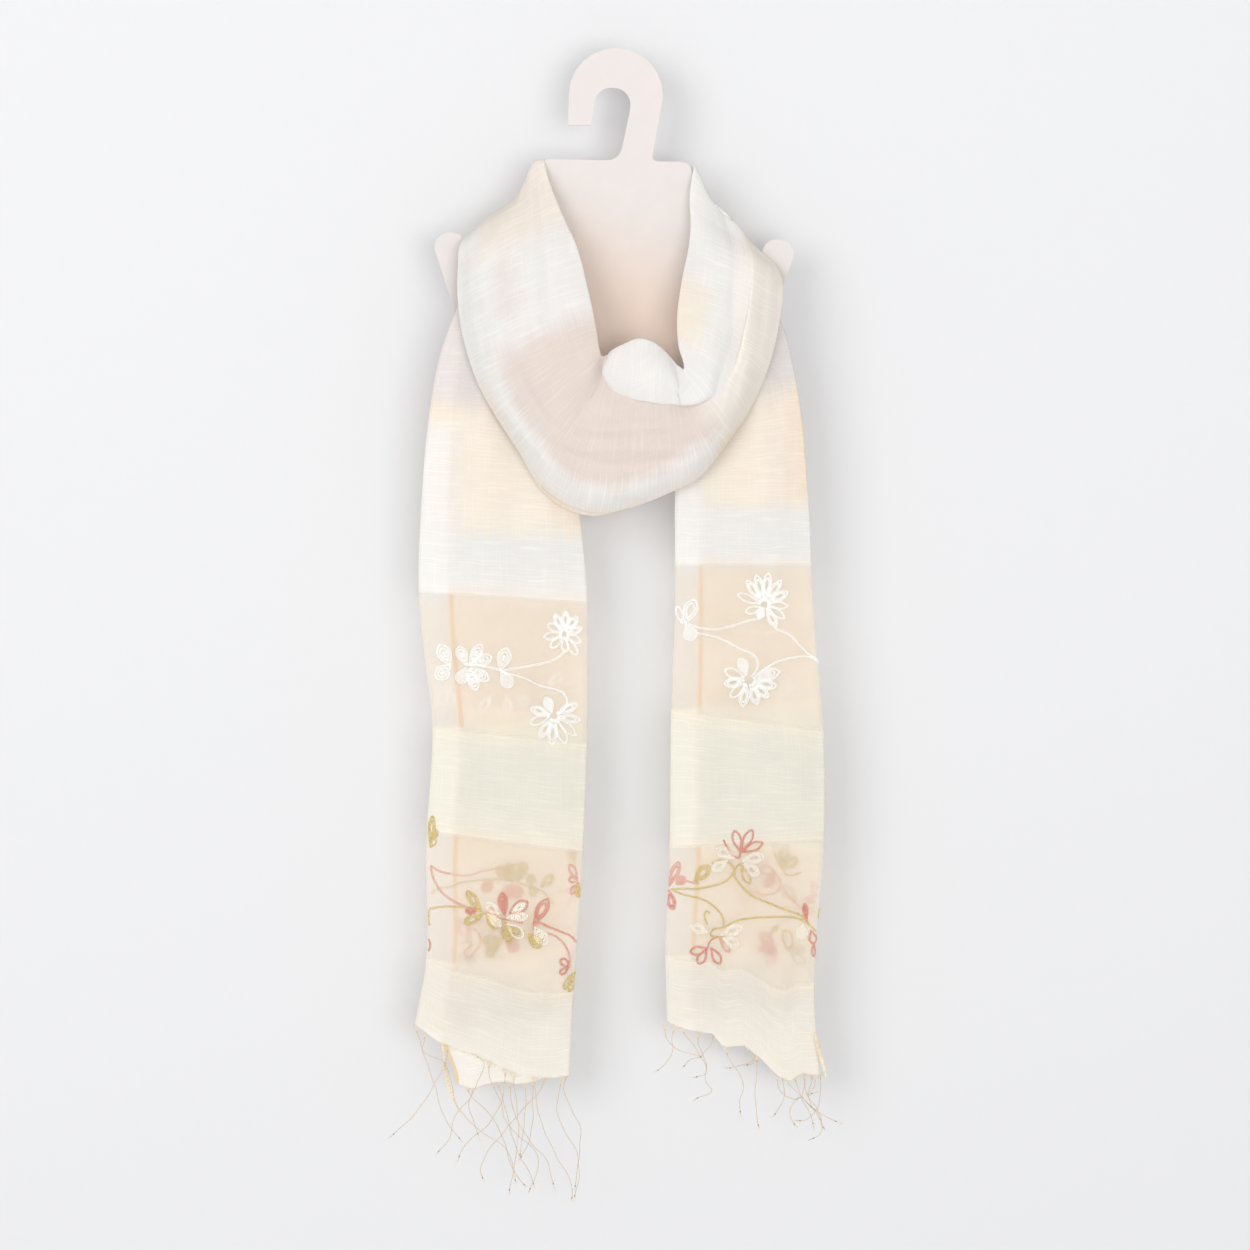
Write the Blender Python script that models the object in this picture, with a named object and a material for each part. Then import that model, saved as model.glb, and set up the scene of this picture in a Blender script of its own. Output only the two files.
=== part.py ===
"""An evening stole of sheer cloth, hung as it is worn on a flat display hanger.

Metres, +Z up, the front faces -Y. The origin is where the rod carries the hanger: the
top of the hook's inner arc, in the middle of the plate's thickness.

The stole is one long cloth, folded lengthwise into a band. Its course runs from the
right end's hem up to the right shoulder notch, behind the neck plate to the left neck
corner, down in front as the cowl and up to the right neck corner, behind the plate
again to the left notch, and down to the left end's hem. Each stretch of that course is
a closed wall of its own, cut from one table of sections.
"""

import math
from collections import namedtuple

import bmesh
import bpy
import numpy as np

MM = 0.001
SEAM_GAP = 0.3  # mm between pieces that meet

# The hanger, in mm, before it tilts.
PLATE_THICKNESS = 2.4
PLATE_AXIS_X = 2.6
HANGER_TILT = math.radians(1.2)
ARC_STEP = math.radians(15)

# The cloth, in mm.
COWL_WALL = 2.4
BACK_WALL = 2.4
TAIL_WALL = 1.5
TAIL_FOLD_SPACING = 4.0
SELVEDGE_INSET = 0.17
ROWS_PER_SECTION = 2
GRID_COLUMNS = 29

# The fringe, in mm.
STRIP_HEIGHT = 2.0
STRAND_WIDTH = 1.2
STRAND_STEPS = 6

Corner = namedtuple("Corner", "x z radius")
HOOK_OUTER = (
    Corner(-32.4, -27.4, 0.8),
    Corner(-32.4, 28.8, 33.7),
    Corner(35.2, 28.8, 33.7),
    Corner(35.2, -8.0, 25.0),
    Corner(28.0, -52.2, 3.6),
)
HALF_PLATE = (
    Corner(54.7, -52.2, 8.0),
    Corner(56.5, -152.0, 14.0),
    Corner(99.0, -152.0, 14.0),
    Corner(108.5, -106.6, 10.4),
    Corner(133.5, -106.6, 10.4),
    Corner(88.7, -236.0, 30.0),
    Corner(70.0, -262.0, 16.0),
)
HOOK_INNER = (
    Corner(5.0, -52.2, 11.0),
    Corner(12.2, -14.0, 20.0),
    Corner(12.2, 0.0, 12.1),
    Corner(-12.2, 0.0, 12.1),
    Corner(-16.0, -27.4, 0.8),
)

# One row for each section across the band, in mm. The outer edge is the one that lies
# on the shoulder, the inner edge lies at the neck, and the middle stands proud by bulge.
Section = namedtuple(
    "Section", "outer_x outer_y outer_z inner_x inner_y inner_z bulge"
)
RIGHT_TAIL = (
    Section(152, -6, -711, 38, -6, -671, 0),
    Section(147, -7, -645, 37, -7, -624, 2),
    Section(151, -8, -545, 40, -8, -550, 3),
    Section(151, -8, -470, 41, -8, -455, 2),
    Section(143, -8, -368, 44, -8, -368, 3),
    Section(140, -8, -297, 44, -8, -297, 3),
    Section(133, -9, -225, 46, -10, -240, 4),
    Section(121, -10, -172, 51, -11, -182, 4),
    Section(108, -8, -147, 58, -9, -134, 3),
)
BACK_INNER = (
    Section(97, 0, -139, 61, 0, -116, 1),
    Section(89, 8, -144, 57, 8, -118, 0),
    Section(64, 8.5, -149, 49, 7.5, -113, 0),
    Section(36, 4.4, -138, 34, 4.4, -104, 0),
    Section(0, 2.8, -122, 0, 2.8, -88, 0),
    Section(-30, 4.2, -110, -30, 4.2, -74, 0),
    Section(-52, 5.5, -101, -46, 5.5, -64, 0),
    Section(-80, 7.0, -108, -50, 5.5, -57, 0),
    Section(-98, 6.0, -116, -51, 4.5, -53, -1),
)
COWL = (
    Section(-103, 0, -108, -52.5, 0, -49, -2),
    Section(-110, -10, -114, -47, -8, -66, 2),
    Section(-112, -17, -131, -38, -17, -90, 9),
    Section(-112, -21, -153, -27, -27, -115, 11),
    Section(-107, -24, -185, -18, -36, -149, 13),
    Section(-94, -25, -221, -12, -43, -178, 13),
    Section(-71, -25, -258, -9, -46, -195, 13),
    Section(-49, -24, -290, -4, -37, -193, 14),
    Section(-17, -22, -306, 6, -40, -187, 15),
    Section(10, -22, -303, 18, -41, -182.5, 15),
    Section(37, -23, -293, 31, -40, -187, 14),
    Section(62, -24, -280, 44, -36, -200, 13),
    Section(82, -25, -255, 50, -44, -204, 13),
    Section(99, -25, -229, 46, -42, -188, 13),
    Section(112, -24, -197, 45, -36, -166, 12),
    Section(119, -22, -166, 49, -27, -138, 11),
    Section(121, -18, -143, 54, -18, -112, 9),
    Section(117, -11, -131, 56, -10, -87, 1),
    Section(101, 0, -119, 58, 0, -49.5, -5),
)
BACK_OUTER = (
    Section(95, 9, -122, 54, 7, -55, -3),
    Section(76, 14, -112, 48, 10, -63, -1),
    Section(46, 15, -106, 42, 13, -70, 1),
    Section(0, 14, -124, 0, 14, -89, 1),
    Section(-44, 12, -143, -42, 12, -108, 1),
    Section(-66, 10, -150, -50, 10, -114, 0),
    Section(-88, 8, -145, -56, 8, -118, 0),
)
LEFT_TAIL = (
    Section(-95, 0, -138, -60, 0, -115, 1),
    Section(-105, -8, -145, -57, -9, -131, 3),
    Section(-114, -10, -163, -52, -11, -160, 4),
    Section(-125, -8, -194, -44, -9, -196, 4),
    Section(-133, -8, -240, -34, -9, -246, 4),
    Section(-138, -8, -297, -25, -8, -303, 3),
    Section(-140, -8, -360, -19, -8, -368, 3),
    Section(-136, -8, -410, -19, -8, -420, 2),
    Section(-131, -8, -449, -19, -8, -460, 2),
    Section(-135, -8, -548, -23, -8, -564, 3),
    Section(-135, -7, -628, -29, -7, -652, 2),
    Section(-143, -6, -673, -32, -6, -710, 0),
)
STRETCHES = (
    ("tail_right", RIGHT_TAIL),
    ("back_inner", BACK_INNER),
    ("cowl", COWL),
    ("back_outer", BACK_OUTER),
    ("tail_left", LEFT_TAIL),
)

# Soft ridges (depth above 0) and troughs along the band. first and last are places in
# the stretch, 0 at its first section and 1 at its last, and may lie past its ends. start,
# middle and end are places across the band, 0 at the outer edge. Depth is in mm, width
# is a share of the band.
Fold = namedtuple("Fold", "first last start middle end depth width")
FOLDS = {
    "tail_right": (
        Fold(0.55, 1.2, 0.35, 0.34, 0.32, 3.5, 0.12),
        Fold(0.45, 1.02, 0.62, 0.64, 0.66, -2.0, 0.12),
        Fold(0.02, 0.75, 0.30, 0.22, 0.28, 1.6, 0.12),
        Fold(0.00, 0.55, 0.62, 0.66, 0.58, -1.5, 0.12),
    ),
    "back_inner": (
        Fold(-0.1, 1.1, 0.25, 0.24, 0.30, 4.0, 0.12),
        Fold(-0.1, 1.1, 0.68, 0.66, 0.64, 4.5, 0.12),
    ),
    "cowl": (
        Fold(0.30, 0.72, 0.86, 0.62, 0.84, -6.0, 0.075),
        Fold(0.34, 0.70, 1.00, 0.84, 1.00, 3.5, 0.10),
        Fold(0.00, 0.36, 0.76, 0.66, 0.62, -3.5, 0.07),
        Fold(-0.1, 0.30, 0.60, 0.50, 0.42, 2.5, 0.10),
        Fold(0.10, 0.66, 0.30, 0.33, 0.22, -2.5, 0.06),
        Fold(0.16, 0.70, 0.42, 0.47, 0.36, -2.0, 0.06),
        Fold(0.62, 1.15, 0.16, 0.37, 0.34, 4.0, 0.09),
        Fold(0.66, 1.00, 0.30, 0.52, 0.56, -3.0, 0.07),
    ),
    "back_outer": (
        Fold(-0.1, 1.1, 0.30, 0.26, 0.28, 4.0, 0.12),
        Fold(-0.1, 1.1, 0.70, 0.68, 0.66, 4.5, 0.12),
    ),
    "tail_left": (
        Fold(-0.02, 0.45, 0.66, 0.62, 0.60, -2.0, 0.12),
        Fold(-0.2, 0.40, 0.34, 0.38, 0.34, 3.5, 0.12),
        Fold(0.25, 0.95, 0.74, 0.82, 0.72, 1.6, 0.12),
        Fold(0.45, 1.00, 0.36, 0.30, 0.40, -1.5, 0.12),
    ),
}

# The knotted strands under each hem. layer and across say where a strand hangs: front or
# back of the folded band, 0 at the hem's left corner and 1 at its right. drop, drift and
# sway are the tip's fall, its sideways place and the bow on the way, in mm, and lean is
# how far the tip stands forward (below 0) or back.
Strand = namedtuple("Strand", "layer across drop drift sway lean")
LEFT_FRINGE = (
    Strand("front", 0.02, 86, 32, -6, -3),
    Strand("front", 0.10, 112, 44, -10, -12),
    Strand("front", 0.22, 60, -42, 7, -17),
    Strand("front", 0.37, 76, -27, 9, -7),
    Strand("front", 0.50, 84, 27, -7, -15),
    Strand("front", 0.60, 72, -30, 8, -10),
    Strand("front", 0.72, 64, -5, 3, -5),
    Strand("front", 0.84, 80, -36, -5, -13),
    Strand("front", 0.95, 90, 6, 8, -6),
    Strand("back", 0.24, 44, 13, -6, 3),
    Strand("back", 0.36, 78, 32, 8, 10),
    Strand("back", 0.46, 42, 6, -6, 4),
    Strand("back", 0.56, 94, 40, 6, 15),
    Strand("back", 0.66, 78, 4, 3, 6),
    Strand("back", 0.76, 66, -10, 5, 12),
    Strand("back", 0.84, 96, 26, -4, 9),
    Strand("back", 0.92, 94, 9, -8, 3),
)
RIGHT_FRINGE = (
    Strand("front", 0.02, 27, 25, -5, -12),
    Strand("front", 0.12, 33, -24, -3, -5),
    Strand("front", 0.22, 24, 6, 3, -3),
    Strand("front", 0.38, 52, 9, 6, -8),
    Strand("front", 0.50, 16, -17, 6, -13),
    Strand("front", 0.60, 60, 2, -4, -5),
    Strand("front", 0.74, 50, -8, 7, -10),
    Strand("front", 0.86, 44, -2, -5, -4),
    Strand("front", 0.95, 38, 10, -5, -9),
    Strand("back", 0.08, 58, 12, 9, 4),
    Strand("back", 0.30, 30, -22, -4, 10),
    Strand("back", 0.42, 46, 5, 4, 4),
    Strand("back", 0.58, 18, -14, -4, 8),
    Strand("back", 0.74, 32, 44, -4, 13),
    Strand("back", 0.80, 40, 15, 3, 5),
    Strand("back", 0.88, 58, 2, 4, 10),
    Strand("back", 0.96, 50, -14, 9, 15),
)

Finish = namedtuple("Finish", "red green blue roughness")
FINISHES = {
    "hanger": Finish(0.90, 0.80, 0.76, 0.55),
    "cowl": Finish(0.86, 0.78, 0.72, 0.85),
    "back_inner": Finish(0.84, 0.78, 0.72, 0.85),
    "back_outer": Finish(0.86, 0.80, 0.74, 0.85),
    "tail_left": Finish(0.88, 0.81, 0.70, 0.85),
    "tail_right": Finish(0.88, 0.82, 0.73, 0.85),
    "fringe_left": Finish(0.72, 0.60, 0.45, 0.80),
    "fringe_right": Finish(0.72, 0.60, 0.45, 0.80),
}


def clear_scene():
    for thing in list(bpy.data.objects):
        bpy.data.objects.remove(thing, do_unlink=True)


def add_object(name, body):
    """An object from a bmesh, with its own material."""
    mesh = bpy.data.meshes.new(name)
    bmesh.ops.recalc_face_normals(body, faces=body.faces)
    body.to_mesh(mesh)
    body.free()
    thing = bpy.data.objects.new(name, mesh)
    bpy.context.collection.objects.link(thing)
    finish = FINISHES[name]
    material = bpy.data.materials.new(name)
    material.use_nodes = True
    shader = material.node_tree.nodes["Principled BSDF"]
    shader.inputs["Base Color"].default_value = (*finish[:3], 1)
    shader.inputs["Roughness"].default_value = finish.roughness
    shader.inputs["Metallic"].default_value = 0
    mesh.materials.append(material)
    return thing


# ---------------------------------------------------------------- hanger


def unit(vector):
    return vector / np.linalg.norm(vector)


def rounded_outline(corners):
    """The points of a closed outline whose corners are rounded by their radius."""
    points = []
    for i, corner in enumerate(corners):
        here = np.array((corner.x, corner.z))
        before = corners[i - 1]
        after = corners[(i + 1) % len(corners)]
        back = unit(np.array((before.x, before.z)) - here)
        on = unit(np.array((after.x, after.z)) - here)
        half = math.acos(np.clip(back @ on, -1, 1)) / 2
        centre = here + unit(back + on) * corner.radius / math.sin(half)
        start = here + back * corner.radius / math.tan(half) - centre
        turn = math.pi - 2 * half
        side = math.copysign(1, back[0] * on[1] - back[1] * on[0])
        steps = max(1, math.ceil(turn / ARC_STEP))
        for k in range(steps + 1):
            angle = -side * turn * k / steps
            cos, sin = math.cos(angle), math.sin(angle)
            spun = (start[0] * cos - start[1] * sin, start[0] * sin + start[1] * cos)
            points.append(centre + spun)
    return points


def hanger_corners():
    """Hook, right half of the plate, its mirror image, and the inside of the hook."""
    right = [Corner(PLATE_AXIS_X + c.x, c.z, c.radius) for c in HALF_PLATE]
    left = [Corner(PLATE_AXIS_X - c.x, c.z, c.radius) for c in reversed(HALF_PLATE)]
    return (*HOOK_OUTER, *right, *left, *HOOK_INNER)


def make_hanger():
    body = bmesh.new()
    front = -PLATE_THICKNESS / 2
    outline = rounded_outline(hanger_corners())
    verts = [body.verts.new((x * MM, front * MM, z * MM)) for x, z in outline]
    face = body.faces.new(verts)
    pulled = bmesh.ops.extrude_face_region(body, geom=[face])["geom"]
    far = [part for part in pulled if isinstance(part, bmesh.types.BMVert)]
    bmesh.ops.translate(body, verts=far, vec=(0, PLATE_THICKNESS * MM, 0))
    hanger = add_object("hanger", body)
    hanger.rotation_euler.y = HANGER_TILT


# ---------------------------------------------------------------- the band's course


def places_along(table):
    """How far along the course each section lies, by the band's middle line, in mm."""
    middle = (table[:, 0:3] + table[:, 3:6]) / 2
    steps = np.linalg.norm(np.diff(middle, axis=0), axis=1)
    return np.concatenate(([0], np.cumsum(steps)))


SECTIONS = np.array([row for _, rows in STRETCHES for row in rows], float)
PLACES = places_along(SECTIONS)


def stretch_ends(name):
    """The numbers of the sections where a stretch starts and ends."""
    names = [label for label, rows in STRETCHES for _ in rows]
    first = names.index(name)
    return first, min(len(names) - 1, first + names.count(name))


def place_of(number):
    """How far along the course a section number lies, in mm. It may be a fraction, or lie
    a little past either end."""
    inside = np.interp(number, np.arange(len(PLACES)), PLACES)
    before = np.minimum(number, 0) * (PLACES[1] - PLACES[0])
    past = np.maximum(number - len(PLACES) + 1, 0) * (PLACES[-1] - PLACES[-2])
    return inside + before + past


def smooth_rows(wanted):
    """The sections' columns at the wanted places, on a smooth curve through them."""
    slopes = np.gradient(SECTIONS, PLACES, axis=0)
    i = np.clip(np.searchsorted(PLACES, wanted, side="right") - 1, 0, len(PLACES) - 2)
    span = (PLACES[i + 1] - PLACES[i])[:, None]
    u = (wanted - PLACES[i])[:, None] / span
    rise = SECTIONS[i + 1] - SECTIONS[i]
    a = slopes[i] * span - rise
    b = rise - slopes[i + 1] * span
    return SECTIONS[i] + u * rise + u * (1 - u) * ((1 - u) * a + u * b)


def unit_rows(vectors):
    return vectors / np.linalg.norm(vectors, axis=-1, keepdims=True)


def outward(points, along, across):
    """Unit normals of a grid of points, on the band's outer face."""
    down = np.gradient(points, along, axis=0)
    over = np.gradient(points, across, axis=1)
    return unit_rows(np.cross(down, over))


def fold_height(fold, v, across):
    """How far one fold lifts each point of the grid, in mm, v of the way along it."""
    v = np.clip(v, 0, 1)
    fade = np.sin(math.pi * v) ** 0.7
    line = (
        fold.start * (1 - v) * (1 - 2 * v)
        + fold.middle * 4 * v * (1 - v)
        + fold.end * v * (2 * v - 1)
    )
    away = (across[None, :] - line[:, None]) / fold.width
    return fold.depth * fade[:, None] * np.exp(-(away**2))


def all_folds(along, across):
    """The height of every fold, which may run on past the ends of its own stretch."""
    height = np.zeros((len(along), len(across)))
    for name, folds in FOLDS.items():
        start, end = (PLACES[number] for number in stretch_ends(name))
        share = (along - start) / (end - start)
        for fold in folds:
            v = (share - fold.first) / (fold.last - fold.first)
            height += fold_height(fold, v, across)
    return height


def stretch_grid(name):
    """The middle surface of one stretch: points, normals and band width, in mm. A row
    beyond each end goes into the normals, so that they agree across a seam."""
    first, last = stretch_ends(name)
    count = (last - first) * ROWS_PER_SECTION + 1
    along = place_of(first + np.arange(-1, count + 1) / ROWS_PER_SECTION)
    across = np.linspace(0, 1, GRID_COLUMNS)
    rows = smooth_rows(along)
    outer, inner, bulge = rows[:, None, 0:3], rows[:, None, 3:6], rows[:, None, 6:7]
    s = across[None, :, None]
    flat = outer + (inner - outer) * s
    proud = outward(flat, along, across)
    points = flat + proud * bulge * 4 * s * (1 - s)
    points = points + proud * all_folds(along, across)[:, :, None]
    normals = outward(points, along, across)[1:-1]
    points = points[1:-1]
    widths = np.linalg.norm(np.diff(points, axis=1), axis=2).sum(axis=1)
    if name != STRETCHES[0][0]:
        points[0] += unit_rows(points[1] - points[0]) * SEAM_GAP
    return points, normals, widths


# ---------------------------------------------------------------- cloth walls


def plain_profile(width, wall, columns):
    """The middle line of a flat wall, as places across the band and heights over it, with
    its normals and half its thickness, in mm."""
    line = np.stack([np.linspace(0, width, columns), np.zeros(columns)], 1)
    return line, np.tile((0.0, 1.0), (columns, 1)), wall / 2


def folded_profile(width, wall, fold_at_outer):
    """The middle line of a band folded over at one edge, its normals and half wall. The
    back layer starts short of the other edge, as the selvedges do."""
    radius = TAIL_FOLD_SPACING / 2
    turn_at = width - radius - wall / 2
    back = np.linspace(SELVEDGE_INSET * width, turn_at, 9)[:-1]
    angles = np.linspace(-math.pi / 2, math.pi / 2, 5)
    front = np.linspace(turn_at, 0, 12)[1:]
    line = [(a, -radius) for a in back]
    line += [(turn_at + radius * math.cos(t), radius * math.sin(t)) for t in angles]
    line += [(a, radius) for a in front]
    line = np.array(line)
    out = [(0, -1)] * len(back) + [(math.cos(t), math.sin(t)) for t in angles]
    out = np.array(out + [(0, 1)] * len(front), float)
    if fold_at_outer:
        line[:, 0] = width - line[:, 0]
        out[:, 0] *= -1
    return line, out, wall / 2


def on_band(points, normals, width, place):
    """Where a row of the grid carries a place of the profile."""
    shares = np.linspace(0, 1, points.shape[0])
    s = place[:, 0] / width
    spot = np.stack([np.interp(s, shares, points[:, k]) for k in range(3)], 1)
    up = np.stack([np.interp(s, shares, normals[:, k]) for k in range(3)], 1)
    return spot + unit_rows(up) * place[:, 1:2]


def wall_rings(grid, profile_of):
    """For each row, the points of the wall's two faces."""
    rings = []
    for points, normals, width in zip(*grid):
        line, out, half = profile_of(width)
        faces = [on_band(points, normals, width, line + k * half * out) for k in (1, -1)]
        rings.append(faces)
    return rings


def fill_wall(body, rings):
    """A closed body from rings of two faces, joined at both edges and both ends."""
    verts = [[[body.verts.new(p * MM) for p in face] for face in ring] for ring in rings]
    loops = [top + under[::-1] for top, under in verts]
    for here, there in zip(loops, loops[1:]):
        for k in range(len(here)):
            body.faces.new((here[k - 1], here[k], there[k], there[k - 1]))
    for top, under in (verts[0], verts[-1]):
        for k in range(1, len(top)):
            body.faces.new((top[k - 1], top[k], under[k], under[k - 1]))


def make_wall(name, profile_of):
    body = bmesh.new()
    fill_wall(body, wall_rings(stretch_grid(name), profile_of))
    thing = add_object(name, body)
    thing.data.shade_smooth()


def cowl_profile(width):
    return plain_profile(width, COWL_WALL, 17)


def back_profile(width):
    return plain_profile(width, BACK_WALL, 11)


def right_tail_profile(width):
    return folded_profile(width, TAIL_WALL, True)


def left_tail_profile(width):
    return folded_profile(width, TAIL_WALL, False)


# ---------------------------------------------------------------- fringe


def hem_stations(name, profile_of, places):
    """Along the hem's folded line, at each place (a distance in mm): the two sides of the
    wall, and the way on past the hem."""
    points, normals, widths = stretch_grid(name)
    hem, inside = (0, 1) if name == "tail_right" else (-1, -2)
    line, out, half = profile_of(widths[hem])
    lengths = np.concatenate(([0], np.cumsum(np.linalg.norm(np.diff(line, axis=0), axis=1))))
    line = np.stack([np.interp(places, lengths, line[:, k]) for k in range(2)], 1)
    out = unit_rows(np.stack([np.interp(places, lengths, out[:, k]) for k in range(2)], 1))
    sides = []
    for row in (hem, inside):
        for k in (1, -1):
            spot = line + k * half * out
            sides.append(on_band(points[row], normals[row], widths[hem], spot))
    ways = unit_rows(sides[0] + sides[1] - sides[2] - sides[3])
    return sides[0], sides[1], ways


def place_on_hem(strand, profile_of, width):
    """How far along the hem's folded line a strand hangs, in mm."""
    line, _, _ = profile_of(width)
    steps = np.linalg.norm(np.diff(line, axis=0), axis=1)
    lengths = np.concatenate(([0], np.cumsum(steps)))
    outer_is_left = line[-1, 0] < line[0, 0]
    across = strand.across * width if outer_is_left else (1 - strand.across) * width
    layer = 1 if strand.layer == "front" else -1
    choices = np.where(np.sign(line[:, 1]) == layer)[0]
    order = choices[np.argsort(line[choices, 0])]
    return float(np.interp(across, line[order, 0], lengths[order]))


def strand_path(strand):
    """Steps from a strand's root to its tip, in mm."""
    path = []
    for k in range(1, STRAND_STEPS + 1):
        u = k / STRAND_STEPS
        aside = strand.drift * u + strand.sway * math.sin(math.pi * u)
        path.append(np.array((aside, strand.lean * u, -strand.drop * u)))
    return path


def make_fringe(name, tail, strands, profile_of):
    """A narrow strip along the hem, with each strand drawn down from its under side."""
    hem = 0 if tail == "tail_right" else -1
    width = stretch_grid(tail)[2][hem]
    placed = sorted((place_on_hem(s, profile_of, width), s) for s in strands)
    line, _, _ = profile_of(width)
    length = np.linalg.norm(np.diff(line, axis=0), axis=1).sum()
    half = STRAND_WIDTH / 2
    spots = [0.0]
    for place, _ in placed:
        spots += [place - half, place + half]
    spots.append(length)
    front, back, ways = hem_stations(tail, profile_of, np.array(spots))
    body = bmesh.new()
    corners = []
    for side in (front, back):
        for down in (SEAM_GAP, SEAM_GAP + STRIP_HEIGHT):
            corners.append([body.verts.new(p * MM) for p in side + ways * down])
    front_top, front_low, back_top, back_low = corners
    for k in range(1, len(spots)):
        body.faces.new((front_top[k - 1], front_top[k], front_low[k], front_low[k - 1]))
        body.faces.new((back_top[k], back_top[k - 1], back_low[k - 1], back_low[k]))
        body.faces.new((back_top[k - 1], back_top[k], front_top[k], front_top[k - 1]))
    for k in (0, -1):
        body.faces.new((front_top[k], front_low[k], back_low[k], back_top[k]))
    for k in range(1, len(spots)):
        root = (front_low[k - 1], front_low[k], back_low[k], back_low[k - 1])
        if k % 2:
            body.faces.new(root)
        else:
            draw_strand(body, root, placed[k // 2 - 1][1])
    thing = add_object(name, body)
    thing.data.shade_smooth()


def draw_strand(body, root, strand):
    """A four-sided strand from the open ring of its root to a closed tip."""
    ring = root
    for step in strand_path(strand):
        lower = [body.verts.new(np.array(v.co) + step * MM) for v in root]
        for k in range(4):
            body.faces.new((ring[k - 1], ring[k], lower[k], lower[k - 1]))
        ring = lower
    body.faces.new(ring)


def main():
    clear_scene()
    make_hanger()
    make_wall("cowl", cowl_profile)
    make_wall("back_inner", back_profile)
    make_wall("back_outer", back_profile)
    make_wall("tail_left", left_tail_profile)
    make_wall("tail_right", right_tail_profile)
    make_fringe("fringe_left", "tail_left", LEFT_FRINGE, left_tail_profile)
    make_fringe("fringe_right", "tail_right", RIGHT_FRINGE, right_tail_profile)


main()
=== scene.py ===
"""Looks of the evening stole on its hanger: cloth, embroidery, fringe, card, light."""

import math
from collections import namedtuple

import bpy
import numpy as np
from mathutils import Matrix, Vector, noise
from mathutils.bvhtree import BVHTree


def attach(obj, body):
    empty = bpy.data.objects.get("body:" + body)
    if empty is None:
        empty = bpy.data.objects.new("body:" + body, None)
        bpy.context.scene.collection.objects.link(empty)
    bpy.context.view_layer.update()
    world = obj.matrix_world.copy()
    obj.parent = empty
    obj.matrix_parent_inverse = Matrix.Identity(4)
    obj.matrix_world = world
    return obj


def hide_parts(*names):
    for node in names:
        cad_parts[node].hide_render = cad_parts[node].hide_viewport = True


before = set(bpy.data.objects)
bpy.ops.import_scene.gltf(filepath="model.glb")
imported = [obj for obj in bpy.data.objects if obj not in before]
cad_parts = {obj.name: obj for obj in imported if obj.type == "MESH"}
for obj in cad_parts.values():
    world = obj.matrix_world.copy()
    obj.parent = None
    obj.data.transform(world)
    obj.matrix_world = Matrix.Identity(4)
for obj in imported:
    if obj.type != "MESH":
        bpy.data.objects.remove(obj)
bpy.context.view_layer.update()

MM = 0.001


def table(kind, text):
    """Named rows from a text with one row to a line, whose columns are kind's. After a colon
    come points with commas between them, and an indented line goes on with the last."""
    rows = []
    for line in text.strip().replace("\n ", " ").split("\n"):
        words, _, points = line.partition(":")
        cells = [float(word) if word[-1].isdigit() else word for word in words.split()]
        if points:
            cells.append([tuple(map(float, point.split())) for point in points.split(",")])
        rows.append(kind(*cells))
    return rows


# ---------------------------------------------------------------- the band's course
# The same tables as the solids, in mm: one row for each section across the folded band,
# in course order from the right end's hem to the left end's hem.

Section = namedtuple("Section", "outer_x outer_y outer_z inner_x inner_y inner_z bulge")
RIGHT_TAIL = table(Section, """
152 -6 -711 38 -6 -671 0
147 -7 -645 37 -7 -624 2
151 -8 -545 40 -8 -550 3
151 -8 -470 41 -8 -455 2
143 -8 -368 44 -8 -368 3
140 -8 -297 44 -8 -297 3
133 -9 -225 46 -10 -240 4
121 -10 -172 51 -11 -182 4
108 -8 -147 58 -9 -134 3
""")
BACK_INNER = table(Section, """
97 0 -139 61 0 -116 1
89 8 -144 57 8 -118 0
64 8.5 -149 49 7.5 -113 0
36 4.4 -138 34 4.4 -104 0
0 2.8 -122 0 2.8 -88 0
-30 4.2 -110 -30 4.2 -74 0
-52 5.5 -101 -46 5.5 -64 0
-80 7.0 -108 -50 5.5 -57 0
-98 6.0 -116 -51 4.5 -53 -1
""")
COWL = table(Section, """
-103 0 -108 -52.5 0 -49 -2
-110 -10 -114 -47 -8 -66 2
-112 -17 -131 -38 -17 -90 9
-112 -21 -153 -27 -27 -115 11
-107 -24 -185 -18 -36 -149 13
-94 -25 -221 -12 -43 -178 13
-71 -25 -258 -9 -46 -195 13
-49 -24 -290 -4 -37 -193 14
-17 -22 -306 6 -40 -187 15
10 -22 -303 18 -41 -182.5 15
37 -23 -293 31 -40 -187 14
62 -24 -280 44 -36 -200 13
82 -25 -255 50 -44 -204 13
99 -25 -229 46 -42 -188 13
112 -24 -197 45 -36 -166 12
119 -22 -166 49 -27 -138 11
121 -18 -143 54 -18 -112 9
117 -11 -131 56 -10 -87 1
101 0 -119 58 0 -49.5 -5
""")
BACK_OUTER = table(Section, """
95 9 -122 54 7 -55 -3
76 14 -112 48 10 -63 -1
46 15 -106 42 13 -70 1
0 14 -124 0 14 -89 1
-44 12 -143 -42 12 -108 1
-66 10 -150 -50 10 -114 0
-88 8 -145 -56 8 -118 0
""")
LEFT_TAIL = table(Section, """
-95 0 -138 -60 0 -115 1
-105 -8 -145 -57 -9 -131 3
-114 -10 -163 -52 -11 -160 4
-125 -8 -194 -44 -9 -196 4
-133 -8 -240 -34 -9 -246 4
-138 -8 -297 -25 -8 -303 3
-140 -8 -360 -19 -8 -368 3
-136 -8 -410 -19 -8 -420 2
-131 -8 -449 -19 -8 -460 2
-135 -8 -548 -23 -8 -564 3
-135 -7 -628 -29 -7 -652 2
-143 -6 -673 -32 -6 -710 0
""")
STRETCHES = (
    ("tail_right", RIGHT_TAIL),
    ("back_inner", BACK_INNER),
    ("cowl", COWL),
    ("back_outer", BACK_OUTER),
    ("tail_left", LEFT_TAIL),
)

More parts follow.
